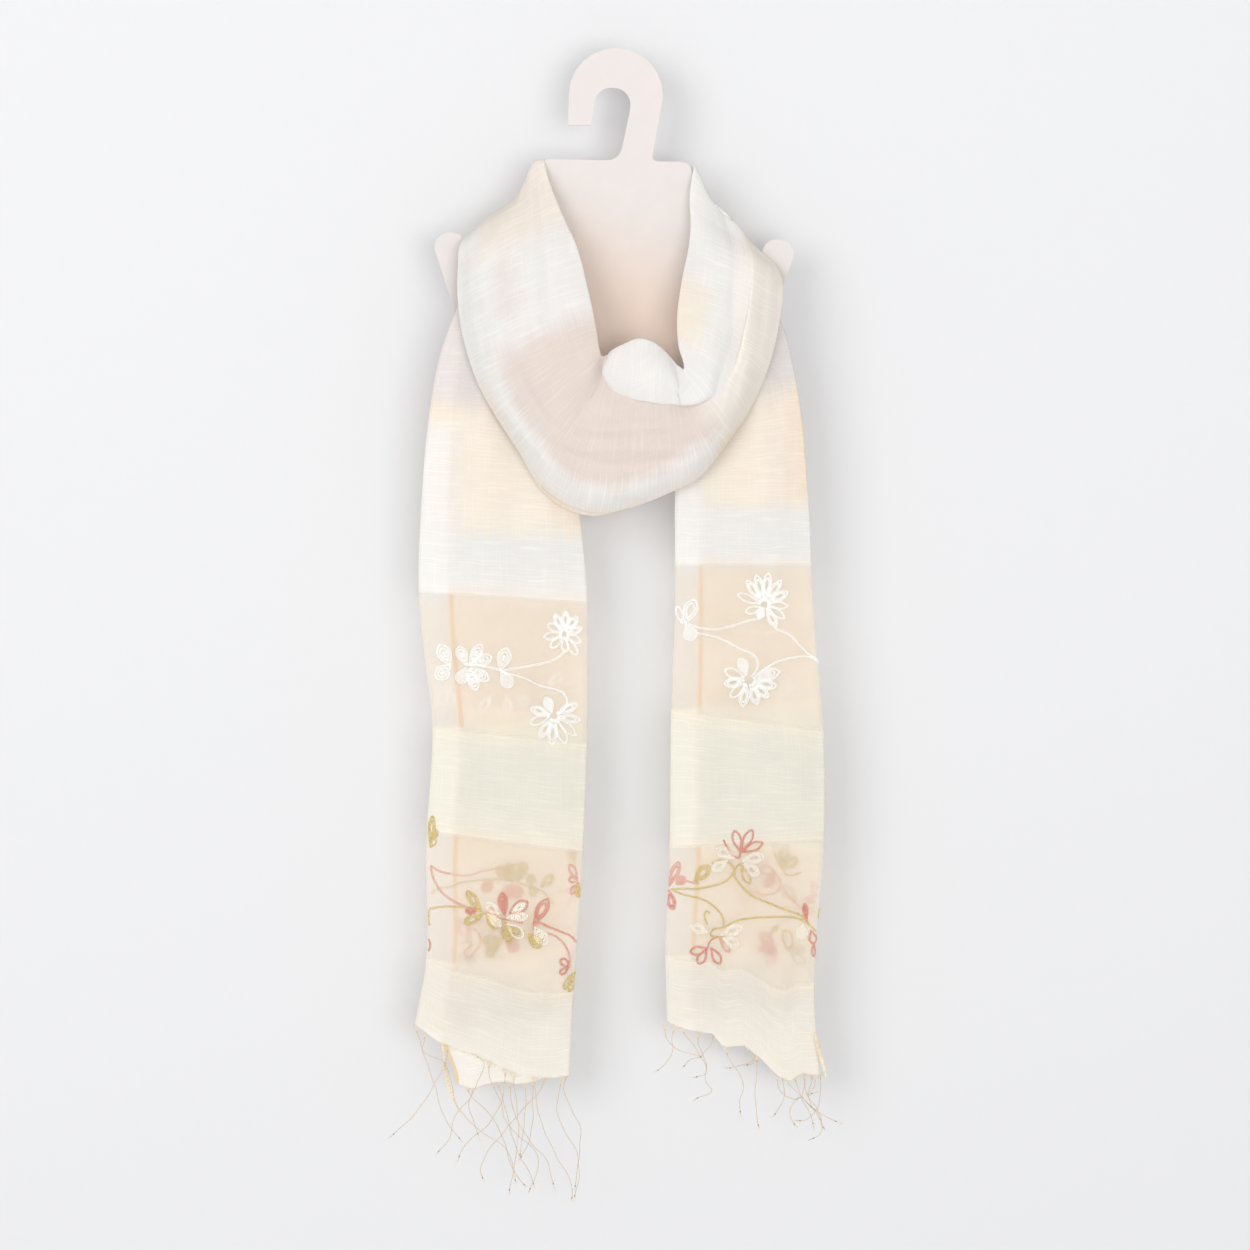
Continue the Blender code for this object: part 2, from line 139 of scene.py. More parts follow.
# Large ridges and troughs: from first to last along a stretch and through start, middle and
# end across it, all as shares, with depth in mm and width as a share. They are the solids'
# own but for the cowl's first two, and behind the plate they end just before the turns.
Fold = namedtuple("Fold", "stretch first last start middle end depth width")
FOLDS = table(Fold, """
tail_right 0.55 1.2 0.35 0.34 0.32 3.5 0.12
tail_right 0.45 1.02 0.62 0.64 0.66 -2.0 0.12
tail_right 0.02 0.75 0.3 0.22 0.28 1.6 0.12
tail_right 0.0 0.55 0.62 0.66 0.58 -1.5 0.12
back_inner -0.1 0.97 0.25 0.24 0.3 4.0 0.12
back_inner -0.1 0.97 0.68 0.66 0.64 4.5 0.12
cowl 0.33 0.76 1.02 0.67 0.42 -6.0 0.075
cowl 0.36 0.74 1.06 0.83 0.62 4.0 0.1
cowl 0.0 0.36 0.76 0.66 0.62 -3.5 0.07
cowl -0.1 0.3 0.6 0.5 0.42 2.5 0.1
cowl 0.1 0.66 0.3 0.33 0.22 -2.5 0.06
cowl 0.16 0.7 0.42 0.47 0.36 -2.0 0.06
cowl 0.62 1.15 0.16 0.37 0.34 4.0 0.09
cowl 0.66 1.0 0.3 0.52 0.56 -3.0 0.07
back_outer 0.03 1.1 0.3 0.26 0.28 4.0 0.12
back_outer 0.03 1.1 0.7 0.68 0.66 4.5 0.12
tail_left -0.02 0.45 0.66 0.62 0.6 -2.0 0.12
tail_left -0.2 0.4 0.34 0.38 0.34 3.5 0.12
tail_left 0.25 0.95 0.74 0.82 0.72 1.6 0.12
tail_left 0.45 1.0 0.36 0.3 0.4 -1.5 0.12
""")

# Finer creases on the shells. line holds (place along, place across) pairs, depth and
# width are in mm, and tuck is how far the crease's front lip slides over its foot: above 0
# the inner side of the line lies in front, below 0 the outer side.
Crease = namedtuple("Crease", "stretch depth width tuck line")
CREASES = table(Crease, """
cowl 1.2 7 2.6: 0.41 0.88, 0.431 0.83, 0.458 0.735, 0.503 0.65, 0.548 0.615, 0.607 0.655,
  0.63 0.61, 0.645 0.53, 0.658 0.43
cowl -1.5 4.5 0: 0.31 1.06, 0.36 0.97, 0.4 0.9, 0.43 0.83, 0.5 0.72
cowl -1.3 4 0: -0.04 0.94, 0.083 0.82, 0.128 0.77, 0.187 0.72, 0.232 0.7, 0.32 0.66
cowl 1.0 4 0: -0.02 0.84, 0.1 0.72, 0.2 0.62, 0.3 0.58
cowl -0.7 3.5 0: 0.0 0.62, 0.1 0.52, 0.2 0.44, 0.28 0.4
cowl 0.7 4 0: 0.02 0.42, 0.12 0.34, 0.26 0.26
cowl -0.7 3 0: 0.1 0.16, 0.2 0.18, 0.3 0.13
cowl -0.9 2.6 0: 0.3 0.19, 0.36 0.22, 0.43 0.33, 0.5 0.28, 0.62 0.18
cowl -1.0 2.8 0: 0.27 0.36, 0.376 0.38, 0.453 0.46, 0.53 0.38, 0.64 0.27
cowl -0.9 2.6 0: 0.28 0.55, 0.345 0.62, 0.426 0.59, 0.512 0.51, 0.63 0.47
cowl -0.7 2.4 0: 0.38 0.24, 0.45 0.21, 0.53 0.14, 0.61 0.09
cowl 0.8 2.8 0: 0.32 0.29, 0.4 0.33, 0.47 0.4, 0.54 0.32, 0.62 0.22
cowl 0.8 2.8 0: 0.33 0.5, 0.4 0.5, 0.48 0.5, 0.56 0.45, 0.62 0.38
cowl -0.5 2.2 0: 0.46 0.46, 0.52 0.44, 0.58 0.41
cowl 0.7 2.4 0: 0.29 0.08, 0.354 0.11, 0.408 0.18, 0.462 0.14, 0.54 0.03
cowl 0.9 6 -2.5: 0.64 0.42, 0.728 0.35, 0.8 0.34, 0.86 0.35, 0.91 0.36
cowl -0.7 3.5 0: 0.7 0.16, 0.8 0.2, 0.93 0.2
cowl -0.8 3.5 0: 0.7 0.8, 0.8 0.76, 0.92 0.7
cowl 0.7 3.5 0: 0.66 0.72, 0.78 0.6, 0.92 0.54
cowl 0.6 2.6 0: 0.455 0.99, 0.475 0.9, 0.51 0.8
cowl -0.6 2.6 0: 0.5 1.0, 0.515 0.9, 0.55 0.78
tail_left -0.9 4 0: 0.02 0.3, 0.12 0.34, 0.3 0.3
tail_left 0.8 4 0: 0.05 0.8, 0.2 0.82, 0.42 0.78
tail_left -0.6 3 0: 0.3 0.55, 0.42 0.52, 0.55 0.56
tail_left -0.5 2.5 0: 0.9 0.1, 0.95 0.3, 0.985 0.45
tail_left 0.6 3 0: 0.84 0.95, 0.92 0.9, 1.0 0.92
tail_right -0.9 4 0: 0.98 0.45, 0.86 0.4, 0.7 0.42
tail_right 0.8 4 0: 0.96 0.8, 0.8 0.78, 0.6 0.8
tail_right -0.6 3 0: 0.62 0.3, 0.5 0.34, 0.36 0.3
tail_right 0.9 4 0: 0.14 0.24, 0.06 0.22, 0.0 0.2
tail_right -0.9 4 0: 0.16 0.36, 0.07 0.34, 0.0 0.33
tail_right 0.8 4 0: 0.15 0.5, 0.07 0.48, 0.0 0.48
""")

# How much of a stretch's folds its shell keeps where fine creases take up the rest.
FOLD_SHARE = {"cowl": 0.5}

# At the neck corners the band folds over the card, and gives way to the card's round
# corners. In mm: how far past the stretch's start and in from the inner edge, how far
# down and aside it moves, and its reach along and across the band.
Corner = namedtuple("Corner", "stretch past inset down aside along across")
CORNERS = table(Corner, """
cowl 0 0 3.4 2.2 9 7
cowl 0 7 -3.5 -0.5 10 7
cowl 0 35 3.9 4.6 14 13
back_outer -10.3 22 2.9 -4.7 14 12
back_outer -10.3 0 6.0 -0.5 10 9
back_outer -30 0 0 -2.6 12 8
""")
EDGE_CURL = 5.0  # mm that the cowl's outer edge bends back towards the hanging ends
EDGE_REACH = 10.0  # mm over which it bends
EDGE_FADE = 0.14  # of the cowl's length at each end, over which the bend starts
LIP_FROM, LIP_TO = 0.36, 0.80  # where along the cowl its lip is softened
LIP_SOFT = 18.0  # mm
LIP_ROWS = 18  # rows each way that are evened out
LIP_FADE = 0.06  # of the cowl's length
LIP_INSIDE, LIP_BLEND = 0.5, 0.3  # where across the band it starts, and over how much

STEP = 2.0  # mm between rows of the course
REACH = 60  # mm that the course runs on past each hem
COLUMNS = 97
RIPPLE = 0.5  # mm
RIPPLE_ACROSS, RIPPLE_ALONG = 24, 55  # mm from one wave to the next


def ease(x):
    x = np.clip(x, 0, 1)
    return x * x * (3 - 2 * x)


def lengths_along(path):
    steps = np.linalg.norm(np.diff(path, axis=0), axis=1)
    return np.concatenate(([0], np.cumsum(steps)))


def smooth_through(rows, at, wanted):
    """The rows' columns at the wanted places, on a smooth curve through the rows."""
    slopes = np.gradient(rows, at, axis=0)
    i = np.clip(np.searchsorted(at, wanted, side="right") - 1, 0, len(at) - 2)
    span = (at[i + 1] - at[i])[:, None]
    u = (wanted - at[i])[:, None] / span
    rise = rows[i + 1] - rows[i]
    a = slopes[i] * span - rise
    b = rise - slopes[i + 1] * span
    return rows[i] + u * rise + u * (1 - u) * ((1 - u) * a + u * b)


SECTIONS = np.array([row for _, rows in STRETCHES for row in rows], float)
PLACES = lengths_along((SECTIONS[:, 0:3] + SECTIONS[:, 3:6]) / 2)


def stretch_ends(name):
    """Where a stretch starts and ends along the course, in mm."""
    names = [label for label, rows in STRETCHES for _ in rows]
    first = names.index(name)
    return PLACES[first], PLACES[min(len(names) - 1, first + names.count(name))]


def smooth_rows(wanted):
    """The sections' columns at the wanted places, running on straight past the ends."""
    slopes = np.gradient(SECTIONS, PLACES, axis=0)
    inside = np.clip(wanted, PLACES[0], PLACES[-1])
    past = (wanted - inside)[:, None]
    rows = smooth_through(SECTIONS, PLACES, inside)
    return rows + past * np.where(past < 0, slopes[0], slopes[-1])


def unit_rows(vectors):
    return vectors / np.linalg.norm(vectors, axis=-1, keepdims=True)


def outward(points, along, across):
    down = np.gradient(points, along, axis=0)
    over = np.gradient(points, across, axis=1)
    return unit_rows(np.cross(down, over))


def fold_height(fold, v, across):
    v = np.clip(v, 0, 1)
    fade = np.sin(math.pi * v) ** 0.7
    line = (
        fold.start * (1 - v) * (1 - 2 * v)
        + fold.middle * 4 * v * (1 - v)
        + fold.end * v * (2 * v - 1)
    )
    away = (across[None, :] - line[:, None]) / fold.width
    return fold.depth * fade[:, None] * np.exp(-(away**2))


def all_folds(along, across):
    height = np.zeros((len(along), len(across)))
    for fold in FOLDS:
        start, end = stretch_ends(fold.stretch)
        share = (along - start) / (end - start)
        v = (share - fold.first) / (fold.last - fold.first)
        height += fold_height(fold, v, across) * FOLD_SHARE.get(fold.stretch, 1.0)
    return height


def crease_moves(crease, along, across, widths):
    """How far one crease lifts each point and slides it across the band, in mm."""
    start, end = stretch_ends(crease.stretch)
    line = np.array(sorted(crease.line))
    places = start + line[:, 0] * (end - start)
    fade = np.clip((along - places[0]) / (places[-1] - places[0]), 0, 1)
    fade = np.sin(math.pi * fade) ** 0.6
    middle = np.interp(along, places, line[:, 1])
    away = (across[None, :] - middle[:, None]) * widths[:, None] / crease.width
    if crease.tuck == 0:
        return crease.depth * fade[:, None] * np.exp(-(away**2)), 0 * away
    inside = np.abs(away) < 1
    wave = np.where(inside, np.sin(math.pi * away), 0) * fade[:, None]
    return abs(crease.depth) * np.sign(crease.tuck) * wave, -abs(crease.tuck) * wave


def ripples(along, across, widths):
    """Small uneven waves, so that no stretch is perfectly smooth."""
    height = np.zeros((len(along), len(across)))
    for r, place in enumerate(along):
        for c, share in enumerate(across):
            spot = Vector((share * widths[r] / RIPPLE_ACROSS, place / RIPPLE_ALONG, 0.37))
            height[r, c] = noise.noise(spot) + 0.5 * noise.noise(spot * 2.3)
    return height * RIPPLE


def soften_lip(points, share, across):
    """Evens out how far the cowl's lip stands proud where it meets the two strands."""
    spots = np.arange(-LIP_ROWS, LIP_ROWS + 1)
    weights = np.exp(-((spots * STEP / LIP_SOFT) ** 2))
    weights /= weights.sum()
    deep = points[:, :, 1]
    even = sum(np.roll(deep, -k, axis=0) * w for k, w in zip(spots, weights))
    lip = ease((share - LIP_FROM) / LIP_FADE) * ease((LIP_TO - share) / LIP_FADE)
    near = ease((across - LIP_INSIDE) / LIP_BLEND)
    deep += (even - deep) * lip[:, None] * near[None, :]


def make_course():
    """Points and normals of the band's middle surface, all along the course."""
    along = np.arange(-REACH, PLACES[-1] + REACH, STEP)
    across = np.linspace(0, 1, COLUMNS)
    rows = smooth_rows(along)
    outer, inner, bulge = rows[:, None, 0:3], rows[:, None, 3:6], rows[:, None, 6:7]
    s = across[None, :, None]
    flat = outer + (inner - outer) * s
    proud = outward(flat, along, across)
    points = flat + proud * bulge * 4 * s * (1 - s)
    widths = np.linalg.norm(rows[:, 3:6] - rows[:, 0:3], axis=1)
    lift = all_folds(along, across) + ripples(along, across, widths)
    slide = np.zeros_like(lift)
    for crease in CREASES:
        up, aside = crease_moves(crease, along, across, widths)
        lift += up
        slide += aside
    over = unit_rows(np.gradient(points, across, axis=1))
    points = points + proud * lift[:, :, None]
    normals = outward(points, along, across)
    points = points + over * slide[:, :, None]
    for corner in CORNERS:
        place = stretch_ends(corner.stretch)[0] + corner.past
        near = np.exp(-(((along - place) / corner.along) ** 2))[:, None]
        inward = (1 - across[None, :]) * widths[:, None] - corner.inset
        edge = np.exp(-((inward / corner.across) ** 2))
        points[:, :, 2] -= corner.down * near * edge
        points[:, :, 0] += corner.aside * near * edge
    start, end = stretch_ends("cowl")
    share = (along - start) / (end - start)
    bend = ease(share / EDGE_FADE) * ease((1 - share) / EDGE_FADE)
    reach = across[None, :] * widths[:, None] / EDGE_REACH
    points[:, :, 1] += EDGE_CURL * bend[:, None] * np.exp(-(reach**2))
    soften_lip(points, share, across)
    return along, points, normals, widths


ALONG, COURSE, NORMALS, WIDTHS = make_course()


def on_band(place, share, height):
    """Points of the band, from places along, shares across and heights over it, in mm."""
    place, share, height = np.broadcast_arrays(place, share, height)
    r = (place - ALONG[0]) / STEP
    c = share * (COLUMNS - 1)
    r0 = np.clip(np.floor(r).astype(int), 0, len(ALONG) - 2)
    c0 = np.clip(np.floor(c).astype(int), 0, COLUMNS - 2)
    fr, fc = (r - r0)[..., None], (c - c0)[..., None]

    def blend(grid):
        near = grid[r0, c0] * (1 - fc) + grid[r0, c0 + 1] * fc
        far = grid[r0 + 1, c0] * (1 - fc) + grid[r0 + 1, c0 + 1] * fc
        return near * (1 - fr) + far * fr

    return blend(COURSE) + unit_rows(blend(NORMALS)) * height[..., None]


# ---------------------------------------------------------------- cloth meshes

BANDS = ((0.055, 0.149), (0.230, 0.337))  # m above the hem, the sheer stretches
BAND_EDGE = 0.0012  # m


def grid_faces(rows, columns):
    index = np.arange(rows * columns).reshape(rows, columns)
    corners = index[:-1, :-1], index[:-1, 1:], index[1:, 1:], index[1:, :-1]
    return np.stack(corners, -1).reshape(-1, 4)


def add_mesh(name, points, faces, material):
    mesh = bpy.data.meshes.new(name)
    mesh.from_pydata((np.asarray(points) * MM).tolist(), [], faces)
    mesh.materials.append(material)
    mesh.shade_smooth()
    thing = bpy.data.objects.new(name, mesh)
    bpy.context.collection.objects.link(thing)
    return thing


def add_sheet(name, points, unfolded, along, material, sheer=None):
    """A sheet from a grid of points, with the cloth's own places in metres as its UV.
    sheer is the material of its rows inside BANDS."""
    rows, lanes = points.shape[:2]
    faces = grid_faces(rows, lanes)
    thing = add_mesh(name, points.reshape(-1, 3), faces.tolist(), material)
    uv = thing.data.uv_layers.new(name="cloth")
    u = np.broadcast_to(unfolded, (rows, lanes)).reshape(-1)
    v = np.broadcast_to(along, (rows, lanes)).reshape(-1)
    both = np.stack([u, v], 1)[faces.reshape(-1)] * MM
    uv.data.foreach_set("uv", both.astype(np.float32).reshape(-1))
    if sheer is not None:
        thing.data.materials.append(sheer)
        v = along[:, 0] * MM
        inside = [
            (v[1:] > low - BAND_EDGE) & (v[:-1] < high + BAND_EDGE) for low, high in BANDS
        ]
        marks = np.repeat(np.any(inside, axis=0), lanes - 1)
        thing.data.polygons.foreach_set("material_index", marks.astype(np.int32))
    return thing


def turn(share, top, under, count):
    """A half circle that folds a layer at height top over to height under. It bulges
    towards higher shares; share is where it starts, in mm."""
    angles = np.linspace(math.pi / 2, -math.pi / 2, count + 2)[1:-1]
    radius = (top - under) / 2
    return share + abs(radius) * np.cos(angles), (top + under) / 2 + radius * np.sin(angles)


def mean_width(points):
    """The mean length of a sheet's rows, in mm."""
    return float(np.linalg.norm(np.diff(points, axis=1), axis=2).sum(axis=1).mean())


TUBE_HALF = 1.0  # mm from the middle surface to each face of the cowl and wraps
PEEK = 5.0  # mm that the cowl's back layer shows below its front one
PEEK_AT, PEEK_LONG = 0.43, 0.06  # where along the cowl, and over how much of it
# The front layer's outer edge turned under: across the band and over it, in mm.
HEM_ACROSS = np.array([12, 4, 0.4, -0.55, -0.8, -0.55])
HEM_OVER = np.array([-0.2, -0.2, -0.2, 0.0, 0.45, 0.93])
HEM_CLOTH = -2  # mm of cloth before the edge


def make_tube(name, material, peek, rows, columns):
    """The cowl or a wrap: a front and a back layer, folded over at both edges. Where the
    back layer peeks out, the front one turns under at the outer edge instead."""
    start, end = stretch_ends(name)
    along = np.linspace(start, end, rows)
    width = np.interp(along, ALONG, WIDTHS)[:, None]
    front = np.linspace(0, 1, columns)
    inset = 1 - 2 * TUBE_HALF / width
    lip_s, lip_h = turn(0, TUBE_HALF, -TUBE_HALF, 5)
    share = np.concatenate([HEM_ACROSS * 0, front, 1 + lip_s * 0, front[::-1]])
    extra = np.concatenate([HEM_ACROSS, front * 0, lip_s, front * 0])
    height = np.concatenate([HEM_OVER, front * 0 + TUBE_HALF, lip_h, front * 0 - TUBE_HALF])
    shares = 0.5 + (share[None, :] - 0.5) * inset + extra[None, :] / width
    out = peek(np.linspace(0, 1, rows))[:, None] / width
    back = np.zeros(len(share))
    back[-columns:] = np.linspace(0, 1, columns) ** 6
    shares = shares - out * back[None, :]
    points = on_band(along[:, None], shares, height[None, :])
    hem_u = np.where(np.arange(len(share)) < len(HEM_ACROSS), HEM_CLOTH, 0)
    u = shares * width + hem_u[None, :]
    thing = add_sheet(name + "_cloth", points, u, (along - start)[:, None], material)
    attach(thing, "root")
    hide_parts(name)
    return thing, mean_width(points), float(end - start)


# The layers of a hanging end, front to back: A1, B1, B2 and A2. F1 is the fold at its
# left edge, F2 the two folds at its right edge, and A2 and B2 end in selvedges.
A_HEIGHT, B_HEIGHT = 2.1, 0.9  # mm
SELVEDGE = 0.17  # of the band's width
INNER_FOLD = 3.5  # mm from the right edge
LAYER_COLUMNS = 34
TAIL_ROWS = 190
MIRROR_DROP = 9.0  # mm
SKEW_FADE = 260  # mm from the top over which the layers start to part
THIN_FADE, THIN = 90, 0.45  # mm from the top, and how thick the layers are there
TOP_CLOTH = 11  # mm of cloth that the bend at the top takes up
# Heights above the hem, in mm, over which its four forms fade out: the front layer's sag,
# the back layer's, its taper and the band's narrowing.
SAG_FADE, BACK_FADE, TAPER_FADE, NARROW_FADE = 150, 90, 36, 160

# knots are the heights, in mm, that CLOTH_KNOTS' places of the cloth hang at. sag and
# back_sag say how far the hem hangs below the sections' line, for the front layer and the
# back one, as (share from the left, mm) pairs. taper and narrow are how much of its width
# the back layer loses at its selvedge and the whole band at its right edge, at the hem.
Tail = namedtuple("Tail", "name outer_is_left knots sag back_sag taper narrow")
TAILS = (
    Tail(
        "tail_left", True, (0, 54.8, 149.9, 225.4, 325.5),
        ((0, 0), (0.07, 4), (0.17, 8), (0.43, 8.2), (0.59, 10.5), (0.72, 11), (0.9, 5), (1, 0)),
        ((0.15, 34), (0.28, 34), (0.32, 32), (0.38, 27), (0.45, 23), (0.53, 19.5),
         (0.61, 18.5), (0.7, 14.5), (0.76, 11), (0.86, 4), (1, 0)),
        0.125, 0,
    ),
    Tail(
        "tail_right", False, (0, 56.7, 147.7, 236, 348),
        ((0, 0), (0.07, 2), (0.2, 0), (0.31, -3), (0.34, 3), (0.38, 4.5), (0.5, -2), (0.56, 1),
         (0.63, 4.5), (0.7, 10), (0.75, 12), (0.8, 11), (0.88, 3), (0.95, 2), (1, 0)),
        ((0.15, 1), (0.25, -2), (0.32, -4), (0.35, 1), (0.4, 3), (0.5, -3), (0.56, 0),
         (0.64, 5), (0.7, 9), (0.75, 11), (0.8, 10), (0.88, 2), (0.95, 1), (1, 0)),
        0, 0.035,
    ),
)
TAIL_WIDE = 115.0  # mm, the folded ends' usual width
WIDTH_AT = 200  # mm above the hem, where a folded end's width is taken
CLOTH_KNOTS = (0, 55, 149, 230, 337)  # mm above the hem: where the sheer bands begin and end


def tail_lanes(width):
    """For each lane of the folded end: share from the left edge, height over the band,
    unfolded place, and its share of the fold's skew and of the mirrored skew."""
    one = np.linspace(1, 0, LAYER_COLUMNS)
    edge = A_HEIGHT / width
    inner = INNER_FOLD / width
    a2 = SELVEDGE + (1 - edge - SELVEDGE) * one[::-1]
    f2_s, f2_h = turn(0, A_HEIGHT, -A_HEIGHT, 6)
    a1 = (1 - edge) * one[:-1]
    f1_s, f1_h = turn(0, A_HEIGHT, B_HEIGHT, 4)
    b1 = (1 - inner) * one[::-1][1:]
    i2_s, i2_h = turn(0, B_HEIGHT, -B_HEIGHT, 5)
    b2 = SELVEDGE + (1 - inner - SELVEDGE) * one
    left = np.concatenate(
        [a2, 1 - edge + f2_s[::-1] / width, a1, -(f1_s - 0.6) / width, b1,
         1 - inner + i2_s / width, b2]
    )
    high = np.concatenate(
        [a2 * 0 - A_HEIGHT, f2_h[::-1], a1 * 0 + A_HEIGHT, f1_h, b1 * 0 + B_HEIGHT,
         i2_h, b2 * 0 - B_HEIGHT]
    )
    n = [len(a2), len(f2_s), len(a1), len(f1_s), len(b1), len(i2_s), len(b2)]
    layer = np.repeat(["a2", "f2", "a1", "f1", "b1", "i2", "b2"], n)
    skew = np.select(
        [layer == "a2", (layer == "b1") | (layer == "b2"), layer == "i2"],
        [1 - left, -left, -1.0], 0.0,
    )
    mirrored = np.select(
        [layer == "a2", layer == "b1", layer == "b2", layer == "i2"],
        [1 - left, -left, left - 2, -1.0], 0.0,
    )
    unfolded = np.select(
        [layer == "a2", layer == "b1", layer == "b2"],
        [2 - left, -left, left - 2], left,
    ) * width
    return left, high, unfolded, skew, mirrored, layer


def tail_place(tail, above):
    """Where along the course a distance above the hem lies, in mm."""
    start, end = stretch_ends(tail.name)
    return end - above if tail.outer_is_left else start + above


def tail_drop(tail, above):
    """How far each row across the hanging end falls from left to right, in mm."""
    rows = smooth_rows(np.clip(tail_place(tail, above), PLACES[0], PLACES[-1]))
    drop = rows[:, 2] - rows[:, 5]
    return drop if tail.outer_is_left else -drop


def make_tail(tail, material, sheer):
    """One hanging end: its mesh, its mean width and its length, and its points by layer."""
    start, end = stretch_ends(tail.name)
    length = end - start
    above = np.linspace(0, length, TAIL_ROWS)
    width = float(np.interp(tail_place(tail, WIDTH_AT), ALONG, WIDTHS))
    left, high, unfolded, skew, mirrored, layer = tail_lanes(width)
    fade = ease((length - above) / SKEW_FADE)[:, None]
    drop = tail_drop(tail, above)[:, None]
    mirror = np.clip(drop, -MIRROR_DROP, MIRROR_DROP)
    sag = np.interp(left, *zip(*tail.sag))[None, :] * (1 - ease(above / SAG_FADE))[:, None]
    lower = (skew[None, :] * drop + mirrored[None, :] * mirror) * fade + sag
    back = (layer == "a2")[None, :]
    hang = np.interp(left, *zip(*tail.back_sag))[None, :]
    lower = lower + (hang - lower) * back * (1 - ease(above / BACK_FADE))[:, None]
    place = tail_place(tail, above[:, None] - lower)
    inward = tail.taper * back * ((1 - left) / (1 - SELVEDGE))[None, :]
    across = left[None, :] + inward * (1 - ease(above / TAPER_FADE))[:, None]
    across = across * (1 - tail.narrow * (1 - ease(above / NARROW_FADE)))[:, None]
    share = across if tail.outer_is_left else 1 - across
    thin = THIN + (1 - THIN) * ease((length - above) / THIN_FADE)
    points = on_band(place, share, high[None, :] * thin[:, None])
    cloth_v = np.interp(above, (*tail.knots, length), (*CLOTH_KNOTS, length + TOP_CLOTH))
    cloth_u = unfolded[None, :] * TAIL_WIDE / width
    cloth_v = cloth_v[:, None]
    thing = add_sheet(tail.name + "_cloth", points, cloth_u, cloth_v, material, sheer)
    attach(thing, "root")
    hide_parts(tail.name)
    return thing, mean_width(points), float(length), points, layer


# ---------------------------------------------------------------- threads


def frames(path):
    """Along a path: its ways, and two directions square to them that never spin."""
    ways = unit_rows(np.gradient(path, axis=0))
    side = np.cross(ways[0], (0.3, 1.0, 0.2))
    sides = []
    for way in ways:
        side = side - way * (side @ way)
        side = side / np.linalg.norm(side)
        sides.append(side)
    sides = np.array(sides)
    return ways, sides, np.cross(ways, sides)


def even_path(path, step):
    """The same path with points an even distance apart."""
    far = lengths_along(path)
    places = np.linspace(0, far[-1], max(2, round(far[-1] / step) + 1))
    return np.stack([np.interp(places, far, path[:, k]) for k in range(path.shape[1])], 1)


def smooth_path(points, step):
    """A smooth curve through a few points, sampled evenly."""
    points = np.asarray(points, float)
    if len(points) < 3:
        return even_path(points, step)
    at = lengths_along(points)
    wanted = np.linspace(0, at[-1], 24 * len(points))
    return even_path(smooth_through(points, at, wanted), step)


class Bag:
    """Points and faces of many threads, gathered into one mesh."""

    def __init__(self):
        self.points, self.faces, self.marks, self.count = [], [], [], 0

    def add(self, points, faces, mark=0):
        self.points.append(points)
        self.faces += (np.asarray(faces) + self.count).tolist()
        self.marks += [mark] * len(faces)
        self.count += len(points)

    def tube(self, path, radius, sides, mark=0):
        _, a, b = frames(path)
        angle = np.arange(sides) * math.tau / sides
        cos, sin = np.cos(angle)[None, :, None], np.sin(angle)[None, :, None]
        radius = np.broadcast_to(radius, len(path))[:, None, None]
        rings = path[:, None] + radius * (cos * a[:, None] + sin * b[:, None])
        n = len(path)
        index = np.arange(n * sides).reshape(n, sides)
        turned = np.roll(index, -1, axis=1)
        faces = np.stack([index[:-1], turned[:-1], turned[1:], index[1:]], -1)
        self.add(rings.reshape(-1, 3), faces.reshape(-1, 4), mark)

    def mesh(self, name, *materials):
        thing = add_mesh(name, np.concatenate(self.points), self.faces, materials[0])
        for material in materials[1:]:
            thing.data.materials.append(material)
        thing.data.polygons.foreach_set("material_index", self.marks)
        return thing


# ---------------------------------------------------------------- fringe

PLY_RADIUS = 0.15  # mm
PLY_PITCH = 2.6  # mm of cord for one turn of its two plies
ROOT_GAP = 4.0  # mm from the hem to a strand's first knot
TIP = 6.0  # mm of loose fibres past the last knot
FIBRE = 0.07  # mm
CORD_MARK, KNOT_MARK, FRAY_MARK = 0, 1, 2

